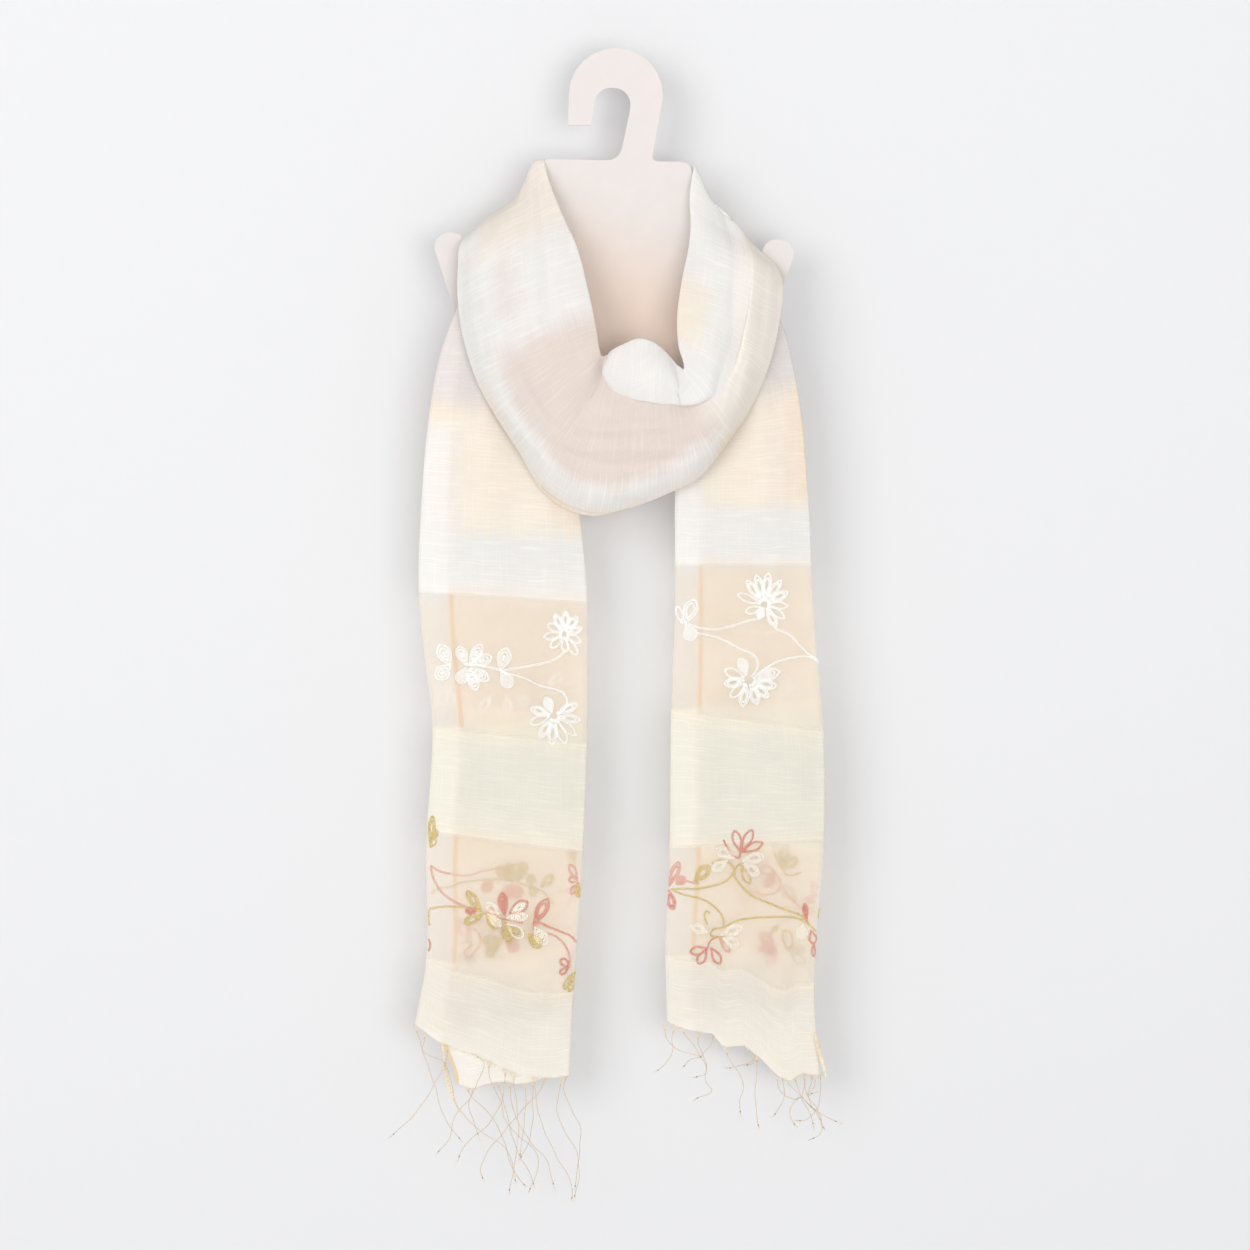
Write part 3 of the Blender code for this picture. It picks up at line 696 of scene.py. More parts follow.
# The layer whose hem a strand is knotted to, how far its tip leans back in mm, and the X and
# Z of its points from root to tip, as seen in front.
Cord = namedtuple("Cord", "layer lean points")
LEFT_CORDS = table(Cord, """
front -3: -142.5 -673, -138 -690.5, -129 -716.5, -122.5 -738.5, -108 -759.5
front -12: -136 -684.5, -138 -690.5, -122.5 -700.5, -111.5 -733, -95 -750, -79 -760.5,
  -73.5 -769.5, -75.5 -797
front -17: -119.5 -695, -129 -716.5, -142.5 -736.5, -162 -754.5
front -7: -101.5 -693.5, -94.5 -699, -98.5 -716.5, -103.5 -726.5, -114 -738.5, -118 -754.5,
  -129 -768
back 3: -106.5 -716.5, -102 -726.5, -89.5 -738.5, -81.5 -752.5, -70.5 -782.5, -61 -793.5
back 10: -101 -716.5, -104.5 -731.5, -101.5 -744, -96 -759
front -15: -89.5 -710.5, -81.5 -728, -78 -741.5, -69 -752.5, -60.5 -759, -54 -769, -56 -780.5,
  -62 -795
front -10: -78 -702.5, -80.5 -728, -89.5 -744, -107.5 -760.5, -113 -773.5
front -5: -72 -713, -70.5 -726.5, -68.5 -750, -71.5 -778.5, -70.5 -790
back 6: -64 -709, -63.5 -728.5, -65 -747.5, -67.5 -766, -69 -774
back 12: -58.5 -708, -58.5 -727, -59 -747.5, -62 -760.5, -69 -774
front -13: -57 -711.5, -56 -727, -52 -744, -42 -766, -30 -790, -31 -802
back 9: -49 -710.5, -52 -719.5, -65.5 -735, -80 -752.5, -93.5 -770.5, -96 -780.5, -93.5 -789
front -6: -38 -714, -41 -735, -38 -745, -26.5 -766, -25 -780.5, -29.5 -802
back 3: -34 -709, -36 -718, -31.5 -733.5, -24.5 -747.5, -25 -766, -29 -797
back 14: -75.5 -713, -72 -737.5, -60.5 -759, -47 -776, -45.5 -785, -42 -796.5
back 5: -84 -714, -79 -731.5, -75.5 -746, -70 -764.5, -58.5 -787, -57 -794
""")
RIGHT_CORDS = table(Cord, """
front -12: 36.5 -671, 38 -683.5, 42 -688.5, 52.5 -693.5, 62 -696, 65 -700
front -5: 44.5 -674.5, 42 -680.5, 42 -692, 36.5 -702, 28 -708.5
front -7: 47.5 -675.5, 54 -684.5, 62 -695.5, 66 -704, 66 -714, 70 -720.5, 59 -726.5, 54.5 -729.5
front -3: 61 -681, 60.5 -687, 63.5 -695.5, 54.5 -699, 48 -706.5
back 7: 72.5 -682, 69 -690, 64 -695, 67 -703.5, 65.5 -710, 60 -712, 55.5 -713
front -8: 80 -690, 81.5 -696, 89.5 -708, 93 -719.5, 90 -728, 90.5 -735, 92 -741
front -13: 95 -690, 101 -697, 99.5 -699, 89.5 -702.5, 83.5 -704, 76.5 -703.5
front -5: 102 -693.5, 103 -701.5, 101.5 -718.5, 102 -734.5, 104.5 -750
back 10: 105 -695, 101.5 -701.5, 91.5 -705
back 4: 119.5 -702.5, 119.5 -710, 122.5 -719.5, 122.5 -725, 119 -734.5, 113 -742.5
back 8: 118 -708.5, 118 -718, 124 -726, 130.5 -728, 134.5 -726.5, 129 -731, 126.5 -737.5,
  129 -744.5, 132.5 -750
front -10: 122.5 -713, 130.5 -721.5, 138 -728.5, 147 -736.5, 157 -741.5, 165.5 -745
back 5: 129.5 -713, 134.5 -726, 140.5 -737.5, 145.5 -751.5
front -4: 136 -708, 137 -716.5, 135.5 -725, 139.5 -731, 146 -737.5, 148.5 -743, 149 -748
back 10: 137.5 -709, 137 -718.5, 140.5 -727, 146 -735, 150 -746.5, 148.5 -753, 138 -759.5
front -9: 144.5 -709, 144 -718, 139.5 -723.5, 141 -729.5, 146 -737.5, 150 -746.5, 154 -750
back 15: 148.5 -711.5, 148.5 -722, 147 -734.5, 144.5 -738, 138 -744, 129.5 -744
back 3: 142.5 -712, 140.5 -725, 144 -723, 149 -722
""")

# Narrow strips of selvedge that have come loose: half their width, and points.
Ribbon = namedtuple("Ribbon", "half points")
LEFT_RIBBONS = table(Ribbon, """
1.1: -123.5 -9.5 -686, -121.5 -10.5 -699, -118.9 -12 -716.5, -113 -13 -731.5,
  -107.5 -13.5 -740.5
""")
RIGHT_RIBBONS = table(Ribbon, """
1.2: 144 -9 -677, 146 -10 -688, 149.5 -11 -700, 152.5 -11.5 -712
""")


def helix(spot, way, radius, rise, turns):
    """A few turns of thread around a cord, which make a knot."""
    side = np.cross(way, (0.2, 1.0, 0.1))
    side /= np.linalg.norm(side)
    other = np.cross(way, side)
    t = np.linspace(0, 1, int(turns * 9) + 1)[:, None]
    spin = t * turns * math.tau
    swell = 0.6 + 0.4 * np.sin(math.pi * t)
    ring = np.cos(spin) * side + np.sin(spin) * other
    return spot + way * rise * (t - 0.5) + ring * radius * swell


KNOT_RADIUS, KNOT_RISE, KNOT_TURNS, KNOT_THREAD = 0.34, 1.2, 2.6, 0.2  # mm, turns
FAN_HALF, FAN_ENDS, FAN_THREAD = 2.4, 7, 0.13  # mm, warp ends gathered in a knot
TUFT = 7  # loose fibres past the last knot
FUZZ, FUZZ_THREAD = 60, 0.06  # short ends along each layer's hem, mm


def hem_point(hem, x):
    order = np.argsort(hem[:, 0])
    return np.array([x, *(np.interp(x, hem[order, 0], hem[order, k]) for k in (1, 2))])


def add_cord(bag, cord, hem, chance):
    """One knotted strand: a fan of warp ends, a knot, two plies, a knot, loose fibres."""
    flat = list(cord.points)
    root = hem_point(hem, flat[0][0])
    if flat[0][1] > root[2] - 3:
        flat = flat[1:]
    spots = np.array([(root[0], root[2])] + flat)
    reach = lengths_along(spots)
    depth = root[1] + cord.lean * (reach / reach[-1]) ** 0.8
    path = smooth_path(np.stack([spots[:, 0], depth, spots[:, 1]], 1), 0.35)
    far = lengths_along(path)
    wave = 0.25 * np.sin(far / 3.1 + chance.uniform(0, 6)) * np.clip(far / 8, 0, 1)
    path[:, 0] += wave
    first = int(np.searchsorted(far, ROOT_GAP * chance.uniform(0.7, 1.3)))
    last = int(np.searchsorted(far, far[-1] - TIP * chance.uniform(0.7, 1.2)))
    ways, a, b = frames(path)
    spin = (far * math.tau / PLY_PITCH)[:, None]
    twist = (np.cos(spin) * a + np.sin(spin) * b) * PLY_RADIUS * 0.9
    for ply in (1, -1):
        bag.tube((path + ply * twist)[first:last], PLY_RADIUS, 5, CORD_MARK)
    for spot in (first, last):
        coil = helix(path[spot], ways[spot], KNOT_RADIUS, KNOT_RISE, KNOT_TURNS)
        bag.tube(coil, KNOT_THREAD, 5, KNOT_MARK if spot == last else CORD_MARK)
    for dx in np.linspace(-FAN_HALF, FAN_HALF, FAN_ENDS):
        start = hem_point(hem, root[0] + dx * chance.uniform(0.8, 1.2))
        start[2] += 0.9
        middle = (start * 0.45 + path[first] * 0.55) + (dx * 0.16, 0, 0)
        fan = smooth_path([start, middle, path[first]], 0.7)
        bag.tube(fan, FAN_THREAD, 4, FRAY_MARK)
    for _ in range(TUFT):
        away = chance.normal(0, 1, 3) * (1.1, 0.7, 0.7)
        tail = path[last:][::2] if len(path) - last > 5 else path[last:]
        t = np.linspace(0, 1, len(tail))[:, None]
        ragged = max(3, int(len(tail) * chance.uniform(0.55, 1)))
        bag.tube((tail + away * t**1.3)[:ragged], FIBRE, 3, FRAY_MARK)


def add_fuzz(bag, hem, count, chance):
    """Short warp ends that stand out of the hem."""
    for _ in range(count):
        k = chance.integers(1, len(hem) - 1)
        start = hem[k] + (hem[k + 1] - hem[k]) * chance.uniform()
        way = np.array((chance.normal(0, 0.35), chance.normal(0, 0.25), -1.0))
        bend = np.array((chance.normal(0, 0.5), chance.normal(0, 0.3), 0.0))
        t = np.linspace(0, 1, 5)[:, None]
        length = chance.uniform(0.6, 2.2)
        line = start + (0, 0, 0.3) + way * length * t + bend * t * t
        bag.tube(line, FUZZ_THREAD, 3, FRAY_MARK)


def add_ribbon(bag, ribbon):
    """A strip of selvedge that curls as it hangs."""
    path = smooth_path(ribbon.points, 0.8)
    t = np.linspace(0, 1, len(path))[:, None]
    swing = np.array((1.0, 0.25, 0.25)) + np.sin(t * 5) * (0, 0.7, 0.1)
    half = ribbon.half * np.sin(np.clip(math.pi * (t * 0.93 + 0.07), 0, math.pi)) ** 0.55
    middle = path - swing * half * 0.2 + (0, -0.35, 0)
    rows = np.stack([path - swing * half, middle, path + swing * half], 1)
    bag.add(rows.reshape(-1, 3), grid_faces(len(path), 3), FRAY_MARK)


def make_fringe(name, cords, ribbons, points, layer, materials):
    """All strands, short ends and strips under one hanging end, as one mesh."""
    chance = np.random.default_rng(len(cords))
    bag = Bag()
    for cord in cords:
        hem = points[0][layer == ("a1" if cord.layer == "front" else "a2")]
        add_cord(bag, cord, hem, chance)
    for lane in ("a1", "b1", "b2", "a2"):
        add_fuzz(bag, points[0][layer == lane], FUZZ, chance)
    for ribbon in ribbons:
        add_ribbon(bag, ribbon)
    thing = bag.mesh(name + "_strands", *materials)
    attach(thing, "root")
    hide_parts(name)


# ---------------------------------------------------------------- embroidery

STITCH = 1.75  # mm from one chain link to the next
LINK_WIDTH = 1.55  # mm
THREAD = 0.24  # mm
OVERLAP = 1.16  # how far a link reaches into the next
SHARPNESS = 1.4  # how far out a petal is widest
PETAL_POINTS = 16
ROW_STEP = 0.38  # how much smaller each nested row of a petal is
ROW_CENTRE = 0.57  # how far out a petal's rows are nested

# A petal is outlined from its base to its tip, with as many nested rows as it says, in
# mm. Layer A is the front of the band, B the second layer's back, C the band's back.
Petal = namedtuple("Petal", "colour layer base_x base_z tip_x tip_z width rows")
Vine = namedtuple("Vine", "colour layer weight points")

LEFT_PETALS = table(Petal, """
white A -117.4 -415.4 -125.3 -401 9.4 3
white A -117.4 -415.4 -127.4 -424.8 10.1 3
white A -105.8 -415.4 -111.6 -401.8 7.2 3
white A -103.7 -414.7 -95 -400.3 7.2 3
white A -103 -415.4 -87.8 -409 7.9 3
white A -103 -417.6 -90 -426.2 7.9 3
white A -104.4 -418.3 -98.6 -433.4 7.2 3
white A -106.6 -417.6 -110.9 -428.4 8.6 3
white A -81.4 -419 -77 -403.2 9.4 3
white A -80.6 -419.8 -74.2 -431.3 8.6 3
white A -37.4 -393.1 -50.4 -395.3 5 1
white A -37.4 -391.7 -47.5 -385.9 5 1
white A -36.7 -391 -42.5 -378.7 5 2
white A -35.3 -390.2 -34.6 -376.6 5 2
white A -34.6 -391 -26.6 -380.2 5.8 2
white A -33.8 -392.4 -23 -388.8 5 2
white A -33.8 -393.8 -23.8 -398.9 5 1
white A -34.6 -395.3 -26.6 -408.2 5 1
white A -36 -395.3 -34.6 -406.1 5 1
white A -37.4 -394.6 -45.4 -403.2 5 1
white A -46.1 -450.7 -59.8 -446.4 5.8 2
white A -46.1 -452.2 -60.5 -457.2 5.8 1
white A -44.6 -453.6 -53.3 -467.3 5.8 2
white A -43.2 -454.3 -44.6 -472.3 6.5 2
white A -41.8 -454.3 -34.6 -471.6 5.8 1
white A -41 -453.6 -27.4 -465.8 5.8 1
white A -40.3 -452.2 -24.5 -455 5.8 2
white A -41 -450 -26.6 -443.5 5.8 2
white A -44.6 -449.3 -49 -438.5 6.5 3
white B -87.8 -437 -97.2 -450 6.5 2
white B -77 -438.5 -75.6 -449.3 6.5 2
white B -68.4 -437.8 -61.2 -444.2 7.9 2
white B -47.5 -430.6 -36.7 -421.2 6.5 2
white B -119.5 -433.4 -125.3 -443.5 6.5 1
white B -118.8 -433.4 -116.6 -445.7 6.5 1
white B -120.2 -432 -128.2 -434.9 5.8 1
white B -118.1 -432 -120.2 -422.6 5.8 1
white C -60.5 -397.4 -49.7 -386.6 6.5 2
white C -60.5 -397.4 -67.7 -384.5 6.5 2
ochre A -131.8 -545 -130.3 -523.4 4.3 2
ochre A -131 -541.4 -127.4 -533.5 4.3 2
ochre A -131.8 -545.8 -128.2 -540 4.3 1
ochre A -95 -592.6 -105.8 -577.4 5.8 2
ochre A -94.3 -594.7 -107.3 -600.5 6.5 2
coral A -98.6 -591.8 -106.6 -591.8 4.3 2
cream A -82.8 -594 -91.4 -586.1 6.5 2
rose A -84.2 -594.7 -90.7 -591.1 4.3 1
coral A -78.5 -594.7 -80.6 -578.9 6.5 3
coral A -74.9 -593.3 -61.9 -585.4 7.9 1
cream A -73.4 -592.6 -64.1 -586.8 4.3 2
coral A -57.6 -601.2 -47.5 -583.2 7.9 2
cream A -77 -596.9 -61.9 -595.4 5.8 3
cream A -76.3 -601.2 -65.5 -610.6 7.9 1
ochre A -74.2 -603.4 -67.7 -608.4 3.6 1
ochre A -78.5 -599.8 -74.9 -614.2 7.9 3
ochre A -91.4 -595.4 -84.2 -604.8 5 2
cream A -90.7 -594 -81.4 -602.6 5.8 3
cream A -56.9 -603.4 -49 -615.6 8.6 3
ochre A -61.2 -608.4 -52.6 -617.8 7.9 3
coral A -32.4 -632.2 -38.2 -626.4 5 1
coral A -33.1 -632.9 -38.9 -637.2 3.6 1
ochre A -28.1 -635.8 -36 -648 4.3 1
ochre A -28.1 -636.5 -32.4 -650.2 4.3 1
ochre A -27.4 -636.5 -28.8 -648.7 3.6 1
rose A -26.6 -568.8 -31.7 -558.7 4.3 1
rose A -26.6 -570.2 -32.4 -568.8 4.3 1
ochre A -25.9 -571.7 -25.9 -582.5 2.9 2
rose A -26.6 -573.1 -31 -579.6 3.6 1
ochre B -82.1 -611.3 -95 -614.2 6.5 2
ochre B -81.4 -612 -91.4 -625 7.2 3
cream B -78.5 -615.6 -82.1 -627.8 7.9 3
rose B -77 -613.4 -69.1 -620.6 7.9 3
rose B -87.8 -570.2 -93.6 -578.2 7.2 3
ochre B -73.4 -570.2 -84.2 -560.2 7.2 3
ochre B -71.3 -569.5 -76.3 -557.3 7.2 3
ochre B -69.1 -570.2 -63.4 -557.3 6.5 3
rose B -73.4 -573.1 -77.8 -582.5 8.6 3
rose B -72 -573.1 -67.7 -582.5 8.6 3
ochre B -61.9 -571.7 -57.6 -566.6 6.5 2
ochre B -52.6 -574.6 -43.2 -566.6 5.8 2
ochre B -59 -573.1 -57.6 -581 5.8 2
""")
RIGHT_PETALS = table(Petal, """
white A 51.1 -385.9 57.6 -367.9 9.4 2
white A 51.8 -386.6 56.9 -397.4 9.4 3
white A 49 -385.2 45.4 -373 4.3 1
white A 105.1 -371.5 88.6 -364.3 5 1
white A 105.8 -370.1 95 -354.2 5 2
white A 107.3 -369.4 102.2 -350.6 5.8 2
white A 108 -368.6 110.9 -349.2 5.8 2
white A 108.7 -369.4 120.2 -354.2 5 2
white A 110.2 -370.1 124.6 -362.9 5.8 2
white A 110.2 -371.5 124.6 -373 5 1
white A 110.2 -373 122.4 -381.6 5 1
white A 109.4 -374.4 116.6 -388.1 5.8 2
white A 107.3 -374.4 103.7 -381.6 5.8 3
white A 105.8 -373.7 94.3 -377.3 5 1
white A 95 -422.6 90.7 -410.4 7.2 3
white A 93.6 -424.1 79.2 -419 6.5 1
white A 93.6 -426.2 79.2 -429.1 6.5 2
white A 94.3 -428.4 83.5 -438.5 5.8 1
white A 95 -429.1 92.2 -445 6.5 2
white A 97.9 -429.1 103 -443.5 6.5 2
white A 99.4 -428.4 110.9 -438.5 5.8 2
white A 100.1 -427 116.6 -430.6 6.5 2
white A 100.1 -424.8 118.8 -419.8 7.9 3
white B 126 -430.6 120.2 -424.1 6.5 1
white B 126.7 -430.6 131.8 -423.4 6.5 1
white B 126.7 -432 133.2 -436.3 6.5 1
white B 125.3 -432 119.5 -436.3 6.5 1
white B 122.4 -440.6 121 -450.7 5.8 1
white C 76.3 -433.4 65.5 -440.6 6.5 2
white C 77.8 -432 87.1 -420.5 6.5 2
coral A 90.7 -549.4 86.4 -534.2 5.8 1
coral A 91.4 -548.6 99.4 -533.5 5.8 1
coral A 92.2 -549.4 106.6 -542.9 5.8 1
cream A 92.2 -555.8 107.3 -552.2 7.2 2
cream A 93.6 -558 103.7 -565.9 7.2 2
cream A 86.4 -553.7 73.4 -547.2 7.2 2
cream A 81.4 -555.8 70.6 -562.3 6.5 2
ochre A 57.6 -571 68.4 -559.4 7.9 2
ochre A 91.4 -559.4 97.2 -572.4 5 1
coral A 67 -619.2 54.7 -621.4 5.8 1
coral A 66.2 -619.9 60.5 -630 5.8 1
coral A 69.8 -618.5 76.3 -630 5.8 1
rose A 76.3 -612 82.8 -621.4 3.6 1
cream A 77 -609.1 91.4 -603.4 7.2 2
cream A 78.5 -611.3 89.3 -617 7.2 2
cream A 67 -607 55.4 -602.6 6.5 2
rose A 39.6 -573.8 46.8 -556.6 5.8 2
coral A 38.9 -576.7 42.5 -591.1 5.8 2
rose A 44.6 -572.4 51.1 -568.1 5.8 3
coral A 138.2 -599 136.8 -586.1 2.9 2
coral A 141.8 -606.2 143.3 -615.6 5 1
coral A 143.3 -615.6 143.3 -625 2.2 1
ochre A 147.6 -606.2 147.6 -589.7 2.2 2
cream A 135.4 -601.9 134.6 -612 7.9 3
ochre B 120.2 -560.9 113.8 -540 3.6 1
ochre B 120.2 -560.2 123.8 -543.6 5.8 2
ochre B 121 -560.9 131.8 -554.4 6.5 2
rose B 115.9 -564.5 104.4 -560.9 5.8 1
rose B 115.9 -565.2 108.7 -574.6 5.8 2
rose B 115.2 -617 105.1 -607.7 7.2 2
rose B 115.2 -618.5 103.7 -620.6 6.5 2
rose B 115.9 -619.9 110.2 -631.4 7.9 3
ochre B 126 -621.4 123.8 -605.5 7.2 1
ochre B 126.7 -621.4 137.5 -618.5 5.8 2
ochre B 126.7 -622.8 137.5 -630 5.8 1
ochre B 116.6 -606.2 113.8 -604.1 5.8 1
""")
LEFT_VINES = table(Vine, """
white A 1.25: -106.6 -414.7, -89.3 -416.9, -81.4 -419
white A 1.25: -81.4 -419.8, -69.8 -417.6, -57.6 -415.4, -46.1 -412.6, -38.9 -409, -35.3 -404.6
white A 0.8: -79.9 -420.5, -71.3 -422.6, -64.1 -424.8, -54 -429.8, -42.5 -432.7, -36.7 -434.9,
  -33.8 -441.4, -36 -447.8, -40.3 -450.7
white B 0.8: -49.7 -433.4, -36.7 -430.6, -28.1 -427, -18.7 -424.8
white B 0.8: -53.3 -436.3, -38.9 -434.9, -18.7 -432.7
rose A 1: -131.8 -559.4, -126 -563, -118.1 -565.2
rose B 0.8: -118.1 -565.2, -105.1 -566.6, -92.9 -563, -79.9 -560.9, -66.2 -557.3
rose A 1: -131.8 -560.9, -128.9 -570.2, -124.6 -577.4, -116.6 -583.9, -108 -588.2, -103.7 -590.4
ochre A 1: -132.5 -590.4, -124.6 -589, -111.6 -589, -100.1 -590.4, -91.4 -594, -80.6 -597.6
coral A 0.9: -80.6 -597.6, -73.4 -598.3, -65.5 -600.5
ochre B 0.8: -132.5 -581, -128.2 -576.7, -118.1 -574.6, -110.2 -571.7, -98.6 -570.2,
  -77.8 -569.5, -62.6 -573.8, -51.1 -578.2, -43.2 -586.8
ochre A 0.8: -132.5 -590.4, -133.2 -596.2, -132.5 -601.9
coral A 1: -56.2 -601.9, -54.7 -600.5, -46.8 -603.4, -37.4 -607, -30.2 -610.6, -27.4 -614.2
rose A 0.9: -47.5 -607.7, -41 -610.6, -36 -615.6, -32.4 -622.8, -31.7 -627.8, -32.4 -632.9
coral A 0.9: -57.6 -601.2, -57.6 -604.8
rose B 0.9: -106.6 -603.4, -97.9 -607, -95.8 -613.4, -100.1 -621.4, -105.8 -625.7,
  -107.3 -622.1, -102.2 -616.3
coral A 0.8: -133.2 -612, -131.8 -616.3, -133.2 -620.6
""")
RIGHT_VINES = table(Vine, """
white A 1.25: 53.3 -385.9, 63.4 -388.8, 72.7 -389.5, 84.2 -387.4, 95.8 -383.8, 105.1 -381.6
white A 1.1: 115.2 -388.8, 126 -393.8, 133.9 -401.8, 139.7 -407.5, 144.7 -410.4, 147.6 -417.6,
  149 -429.1
white A 1.1: 59.8 -392.4, 71.3 -394.6, 82.1 -398.9, 90.7 -403.9, 99.4 -407.5, 103 -412.6,
  102.2 -419, 98.6 -423.4
white A 0.9: 101.5 -422.6, 110.9 -416.2, 120.2 -411.8, 129.6 -409.7, 141.1 -409.7, 145.4 -411.8
white B 0.9: 84.2 -389.5, 99.4 -391.7, 110.9 -392.4, 118.1 -391
coral A 0.8: 78.5 -540.7, 81.4 -546.5, 86.4 -553, 90 -553.7
coral A 0.8: 90.7 -549.4, 90 -553.7
ochre A 1: 40.3 -576.7, 49 -576, 60.5 -576, 70.6 -573.8, 78.5 -571.7, 84.2 -566.6, 86.4 -561.6,
  82.8 -557.3, 77 -555.1, 70.6 -557.3
ochre A 1: 90.7 -558, 87.1 -560.9, 86.4 -565.9, 91.4 -573.8, 99.4 -581, 110.9 -586.1,
  123.1 -591.1, 134.6 -595.4, 139.7 -600.5
ochre A 0.9: 42.5 -577.4, 50.4 -580.3, 60.5 -582.5, 68.4 -586.1, 74.9 -591.8, 78.5 -597.6,
  78.5 -602.6
ochre A 0.9: 69.1 -609.1, 70.6 -605.5, 77.8 -604.1, 87.8 -599, 99.4 -596.9, 115.2 -596.2,
  126.7 -596.2, 136.1 -599, 142.6 -604.1, 146.2 -607.7
ochre A 0.8: 67 -601.9, 64.8 -594.7, 66.2 -591.8, 68.4 -593.3
ochre A 0.9: 69.1 -609.8, 76.3 -610.6, 82.1 -608.4
coral A 0.8: 67 -619.2, 69.1 -613.4, 73.4 -610.6
rose B 0.9: 116.6 -565.2, 119.5 -570.2, 119.5 -574.6, 115.2 -578.9, 107.3 -580.3, 97.9 -577.4
rose B 0.8: 122.4 -576.7, 128.9 -584.6, 135.4 -591.1
rose A 0.8: 51.1 -570.2, 60.5 -572.4
ochre B 0.8: 121 -561.6, 123.8 -565.9, 133.9 -564.5
""")


def petal_rows(petal):
    base = np.array((petal.base_x, petal.base_z))
    way = np.array((petal.tip_x, petal.tip_z)) - base
    side = np.array((-way[1], way[0])) / np.linalg.norm(way)
    t = np.linspace(0, 1, PETAL_POINTS)
    half = np.clip(np.sin(math.pi * t**SHARPNESS), 0, 1) ** 0.8 * petal.width / 2
    for row in range(int(petal.rows)):
        k = 1 - ROW_STEP * row
        out = ROW_CENTRE + (t - ROW_CENTRE) * k
        one = base + way * out[:, None] + side * (half * k)[:, None]
        two = base + way * out[:, None] - side * (half * k)[:, None]
        yield np.concatenate([one, two[::-1][1:]])


def link_template():
    """One chain stitch, 1 long and 1 wide: a drop-shaped loop."""
    angle = np.linspace(0, math.tau, 10)[:-1]
    along = 0.5 - 0.5 * np.cos(angle)
    across = 0.5 * np.sin(angle) * (0.45 + 0.55 * along)
    return along, across


def add_links(bag, starts, ends, ups, weight, chance):
    """Chain stitches from each start to its end, lying on the cloth."""
    way = ends - starts
    length = np.linalg.norm(way, axis=1)
    way = way / length[:, None]
    up = unit_rows(ups - way * (ups * way).sum(1)[:, None])
    side = np.cross(up, way)
    along, across = link_template()
    wide = LINK_WIDTH * weight * chance.uniform(0.85, 1.15, len(starts))
    long = length * OVERLAP
    loop = (
        starts[:, None]
        + way[:, None] * (long[:, None] * along)[:, :, None]
        + side[:, None] * (wide[:, None] * across)[:, :, None]
    )
    nearer = np.roll(loop, -1, axis=1) - np.roll(loop, 1, axis=1)
    out = unit_rows(np.cross(nearer, up[:, None]))
    rise = up[:, None]
    rings = []
    for angle in (0, math.pi / 2, math.pi, 3 * math.pi / 2):
        rings.append(loop + THREAD * (math.cos(angle) * out + math.sin(angle) * rise))
    rings = np.stack(rings, 2) + rise[:, :, None] * THREAD * 0.8
    n, m = rings.shape[:2]
    index = np.arange(m * 4).reshape(m, 4)
    near = np.roll(index, -1, axis=0)
    faces = np.stack([index, near, np.roll(near, -1, 1), np.roll(index, -1, 1)], -1)
    faces = faces.reshape(1, -1, 4) + (np.arange(n) * m * 4)[:, None, None]
    bag.add(rings.reshape(-1, 3), faces.reshape(-1, 4))


class Cloth:
    """The layers of one hanging end, which find the cloth in front of or behind a spot."""

    def __init__(self, points, layer):
        lanes = {"A": ("f2", "a1", "f1"), "B": ("b1",), "C": ("a2",)}
        self.trees = {}
        for key, names in lanes.items():
            grid = points[:, np.isin(layer, names)]
            faces = grid_faces(*grid.shape[:2]).tolist()
            self.trees[key] = BVHTree.FromPolygons(grid.reshape(-1, 3).tolist(), faces)

    def find(self, key, x, z):
        back = key == "C"
        start = Vector((x, 200 if back else -200, z))
        spot, normal, _, _ = self.trees[key].ray_cast(start, Vector((0, -1 if back else 1, 0)))
        if spot is None:
            return None
        behind = key != "A"
        if (normal.y < 0) == behind:
            normal = -normal
        return np.array(spot), np.array(normal)


def sew(bag, cloth, key, line, weight, chance):
    """Chain stitches along a line given in x and z."""
    line = even_path(np.asarray(line, float), STITCH)
    found = [cloth.find(key, x, z) for x, z in line]
    pairs = [
        (a[0], b[0], a[1])
        for a, b in zip(found, found[1:])
        if a and b and 0.2 < np.linalg.norm(b[0] - a[0]) < 3 * STITCH
    ]
    if pairs:
        starts, ends, ups = (np.array(part) for part in zip(*pairs))
        add_links(bag, starts, ends, ups, weight, chance)


def mirrored_motif(petals, vines, left, right, lower):
    """The front's flowers turned over, for the band's back."""
    both = left + right
    for p in petals:
        if p.layer == "A":
            yield Petal(p.colour, "C", both - p.base_x, p.base_z - lower, both - p.tip_x,
                        p.tip_z - lower, p.width, p.rows)
    for v in vines:
        if v.layer == "A":
            yield Vine(v.colour, "C", v.weight, [(both - x, z - lower) for x, z in v.points])


def make_stitches(side, petals, vines, edges, points, layer, threads):
    """All motifs of one hanging end, one mesh for each colour of thread."""
    cloth = Cloth(points, layer)
    chance = np.random.default_rng(11)
    bags = {colour: Bag() for colour in threads}
    for motif in (*petals, *vines, *mirrored_motif(petals, vines, *edges)):
        bag = bags[motif.colour]
        if isinstance(motif, Petal):
            for row in petal_rows(motif):
                sew(bag, cloth, motif.layer, row, 1.0, chance)
        else:
            line = smooth_path(motif.points, 0.5)
            sew(bag, cloth, motif.layer, line, motif.weight, chance)
    for colour, bag in bags.items():
        thing = bag.mesh(f"stitches_{side}_{colour}", threads[colour])
        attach(thing, "root")


# ---------------------------------------------------------------- materials


def tone(red, green, blue):
    """A linear colour from one given as it looks in daylight, 0 to 255."""
    srgb = np.array((red, green, blue)) / 255
    linear = np.where(srgb <= 0.04045, srgb / 12.92, ((srgb + 0.055) / 1.055) ** 2.4)
    return (*[float(x) for x in linear], 1.0)


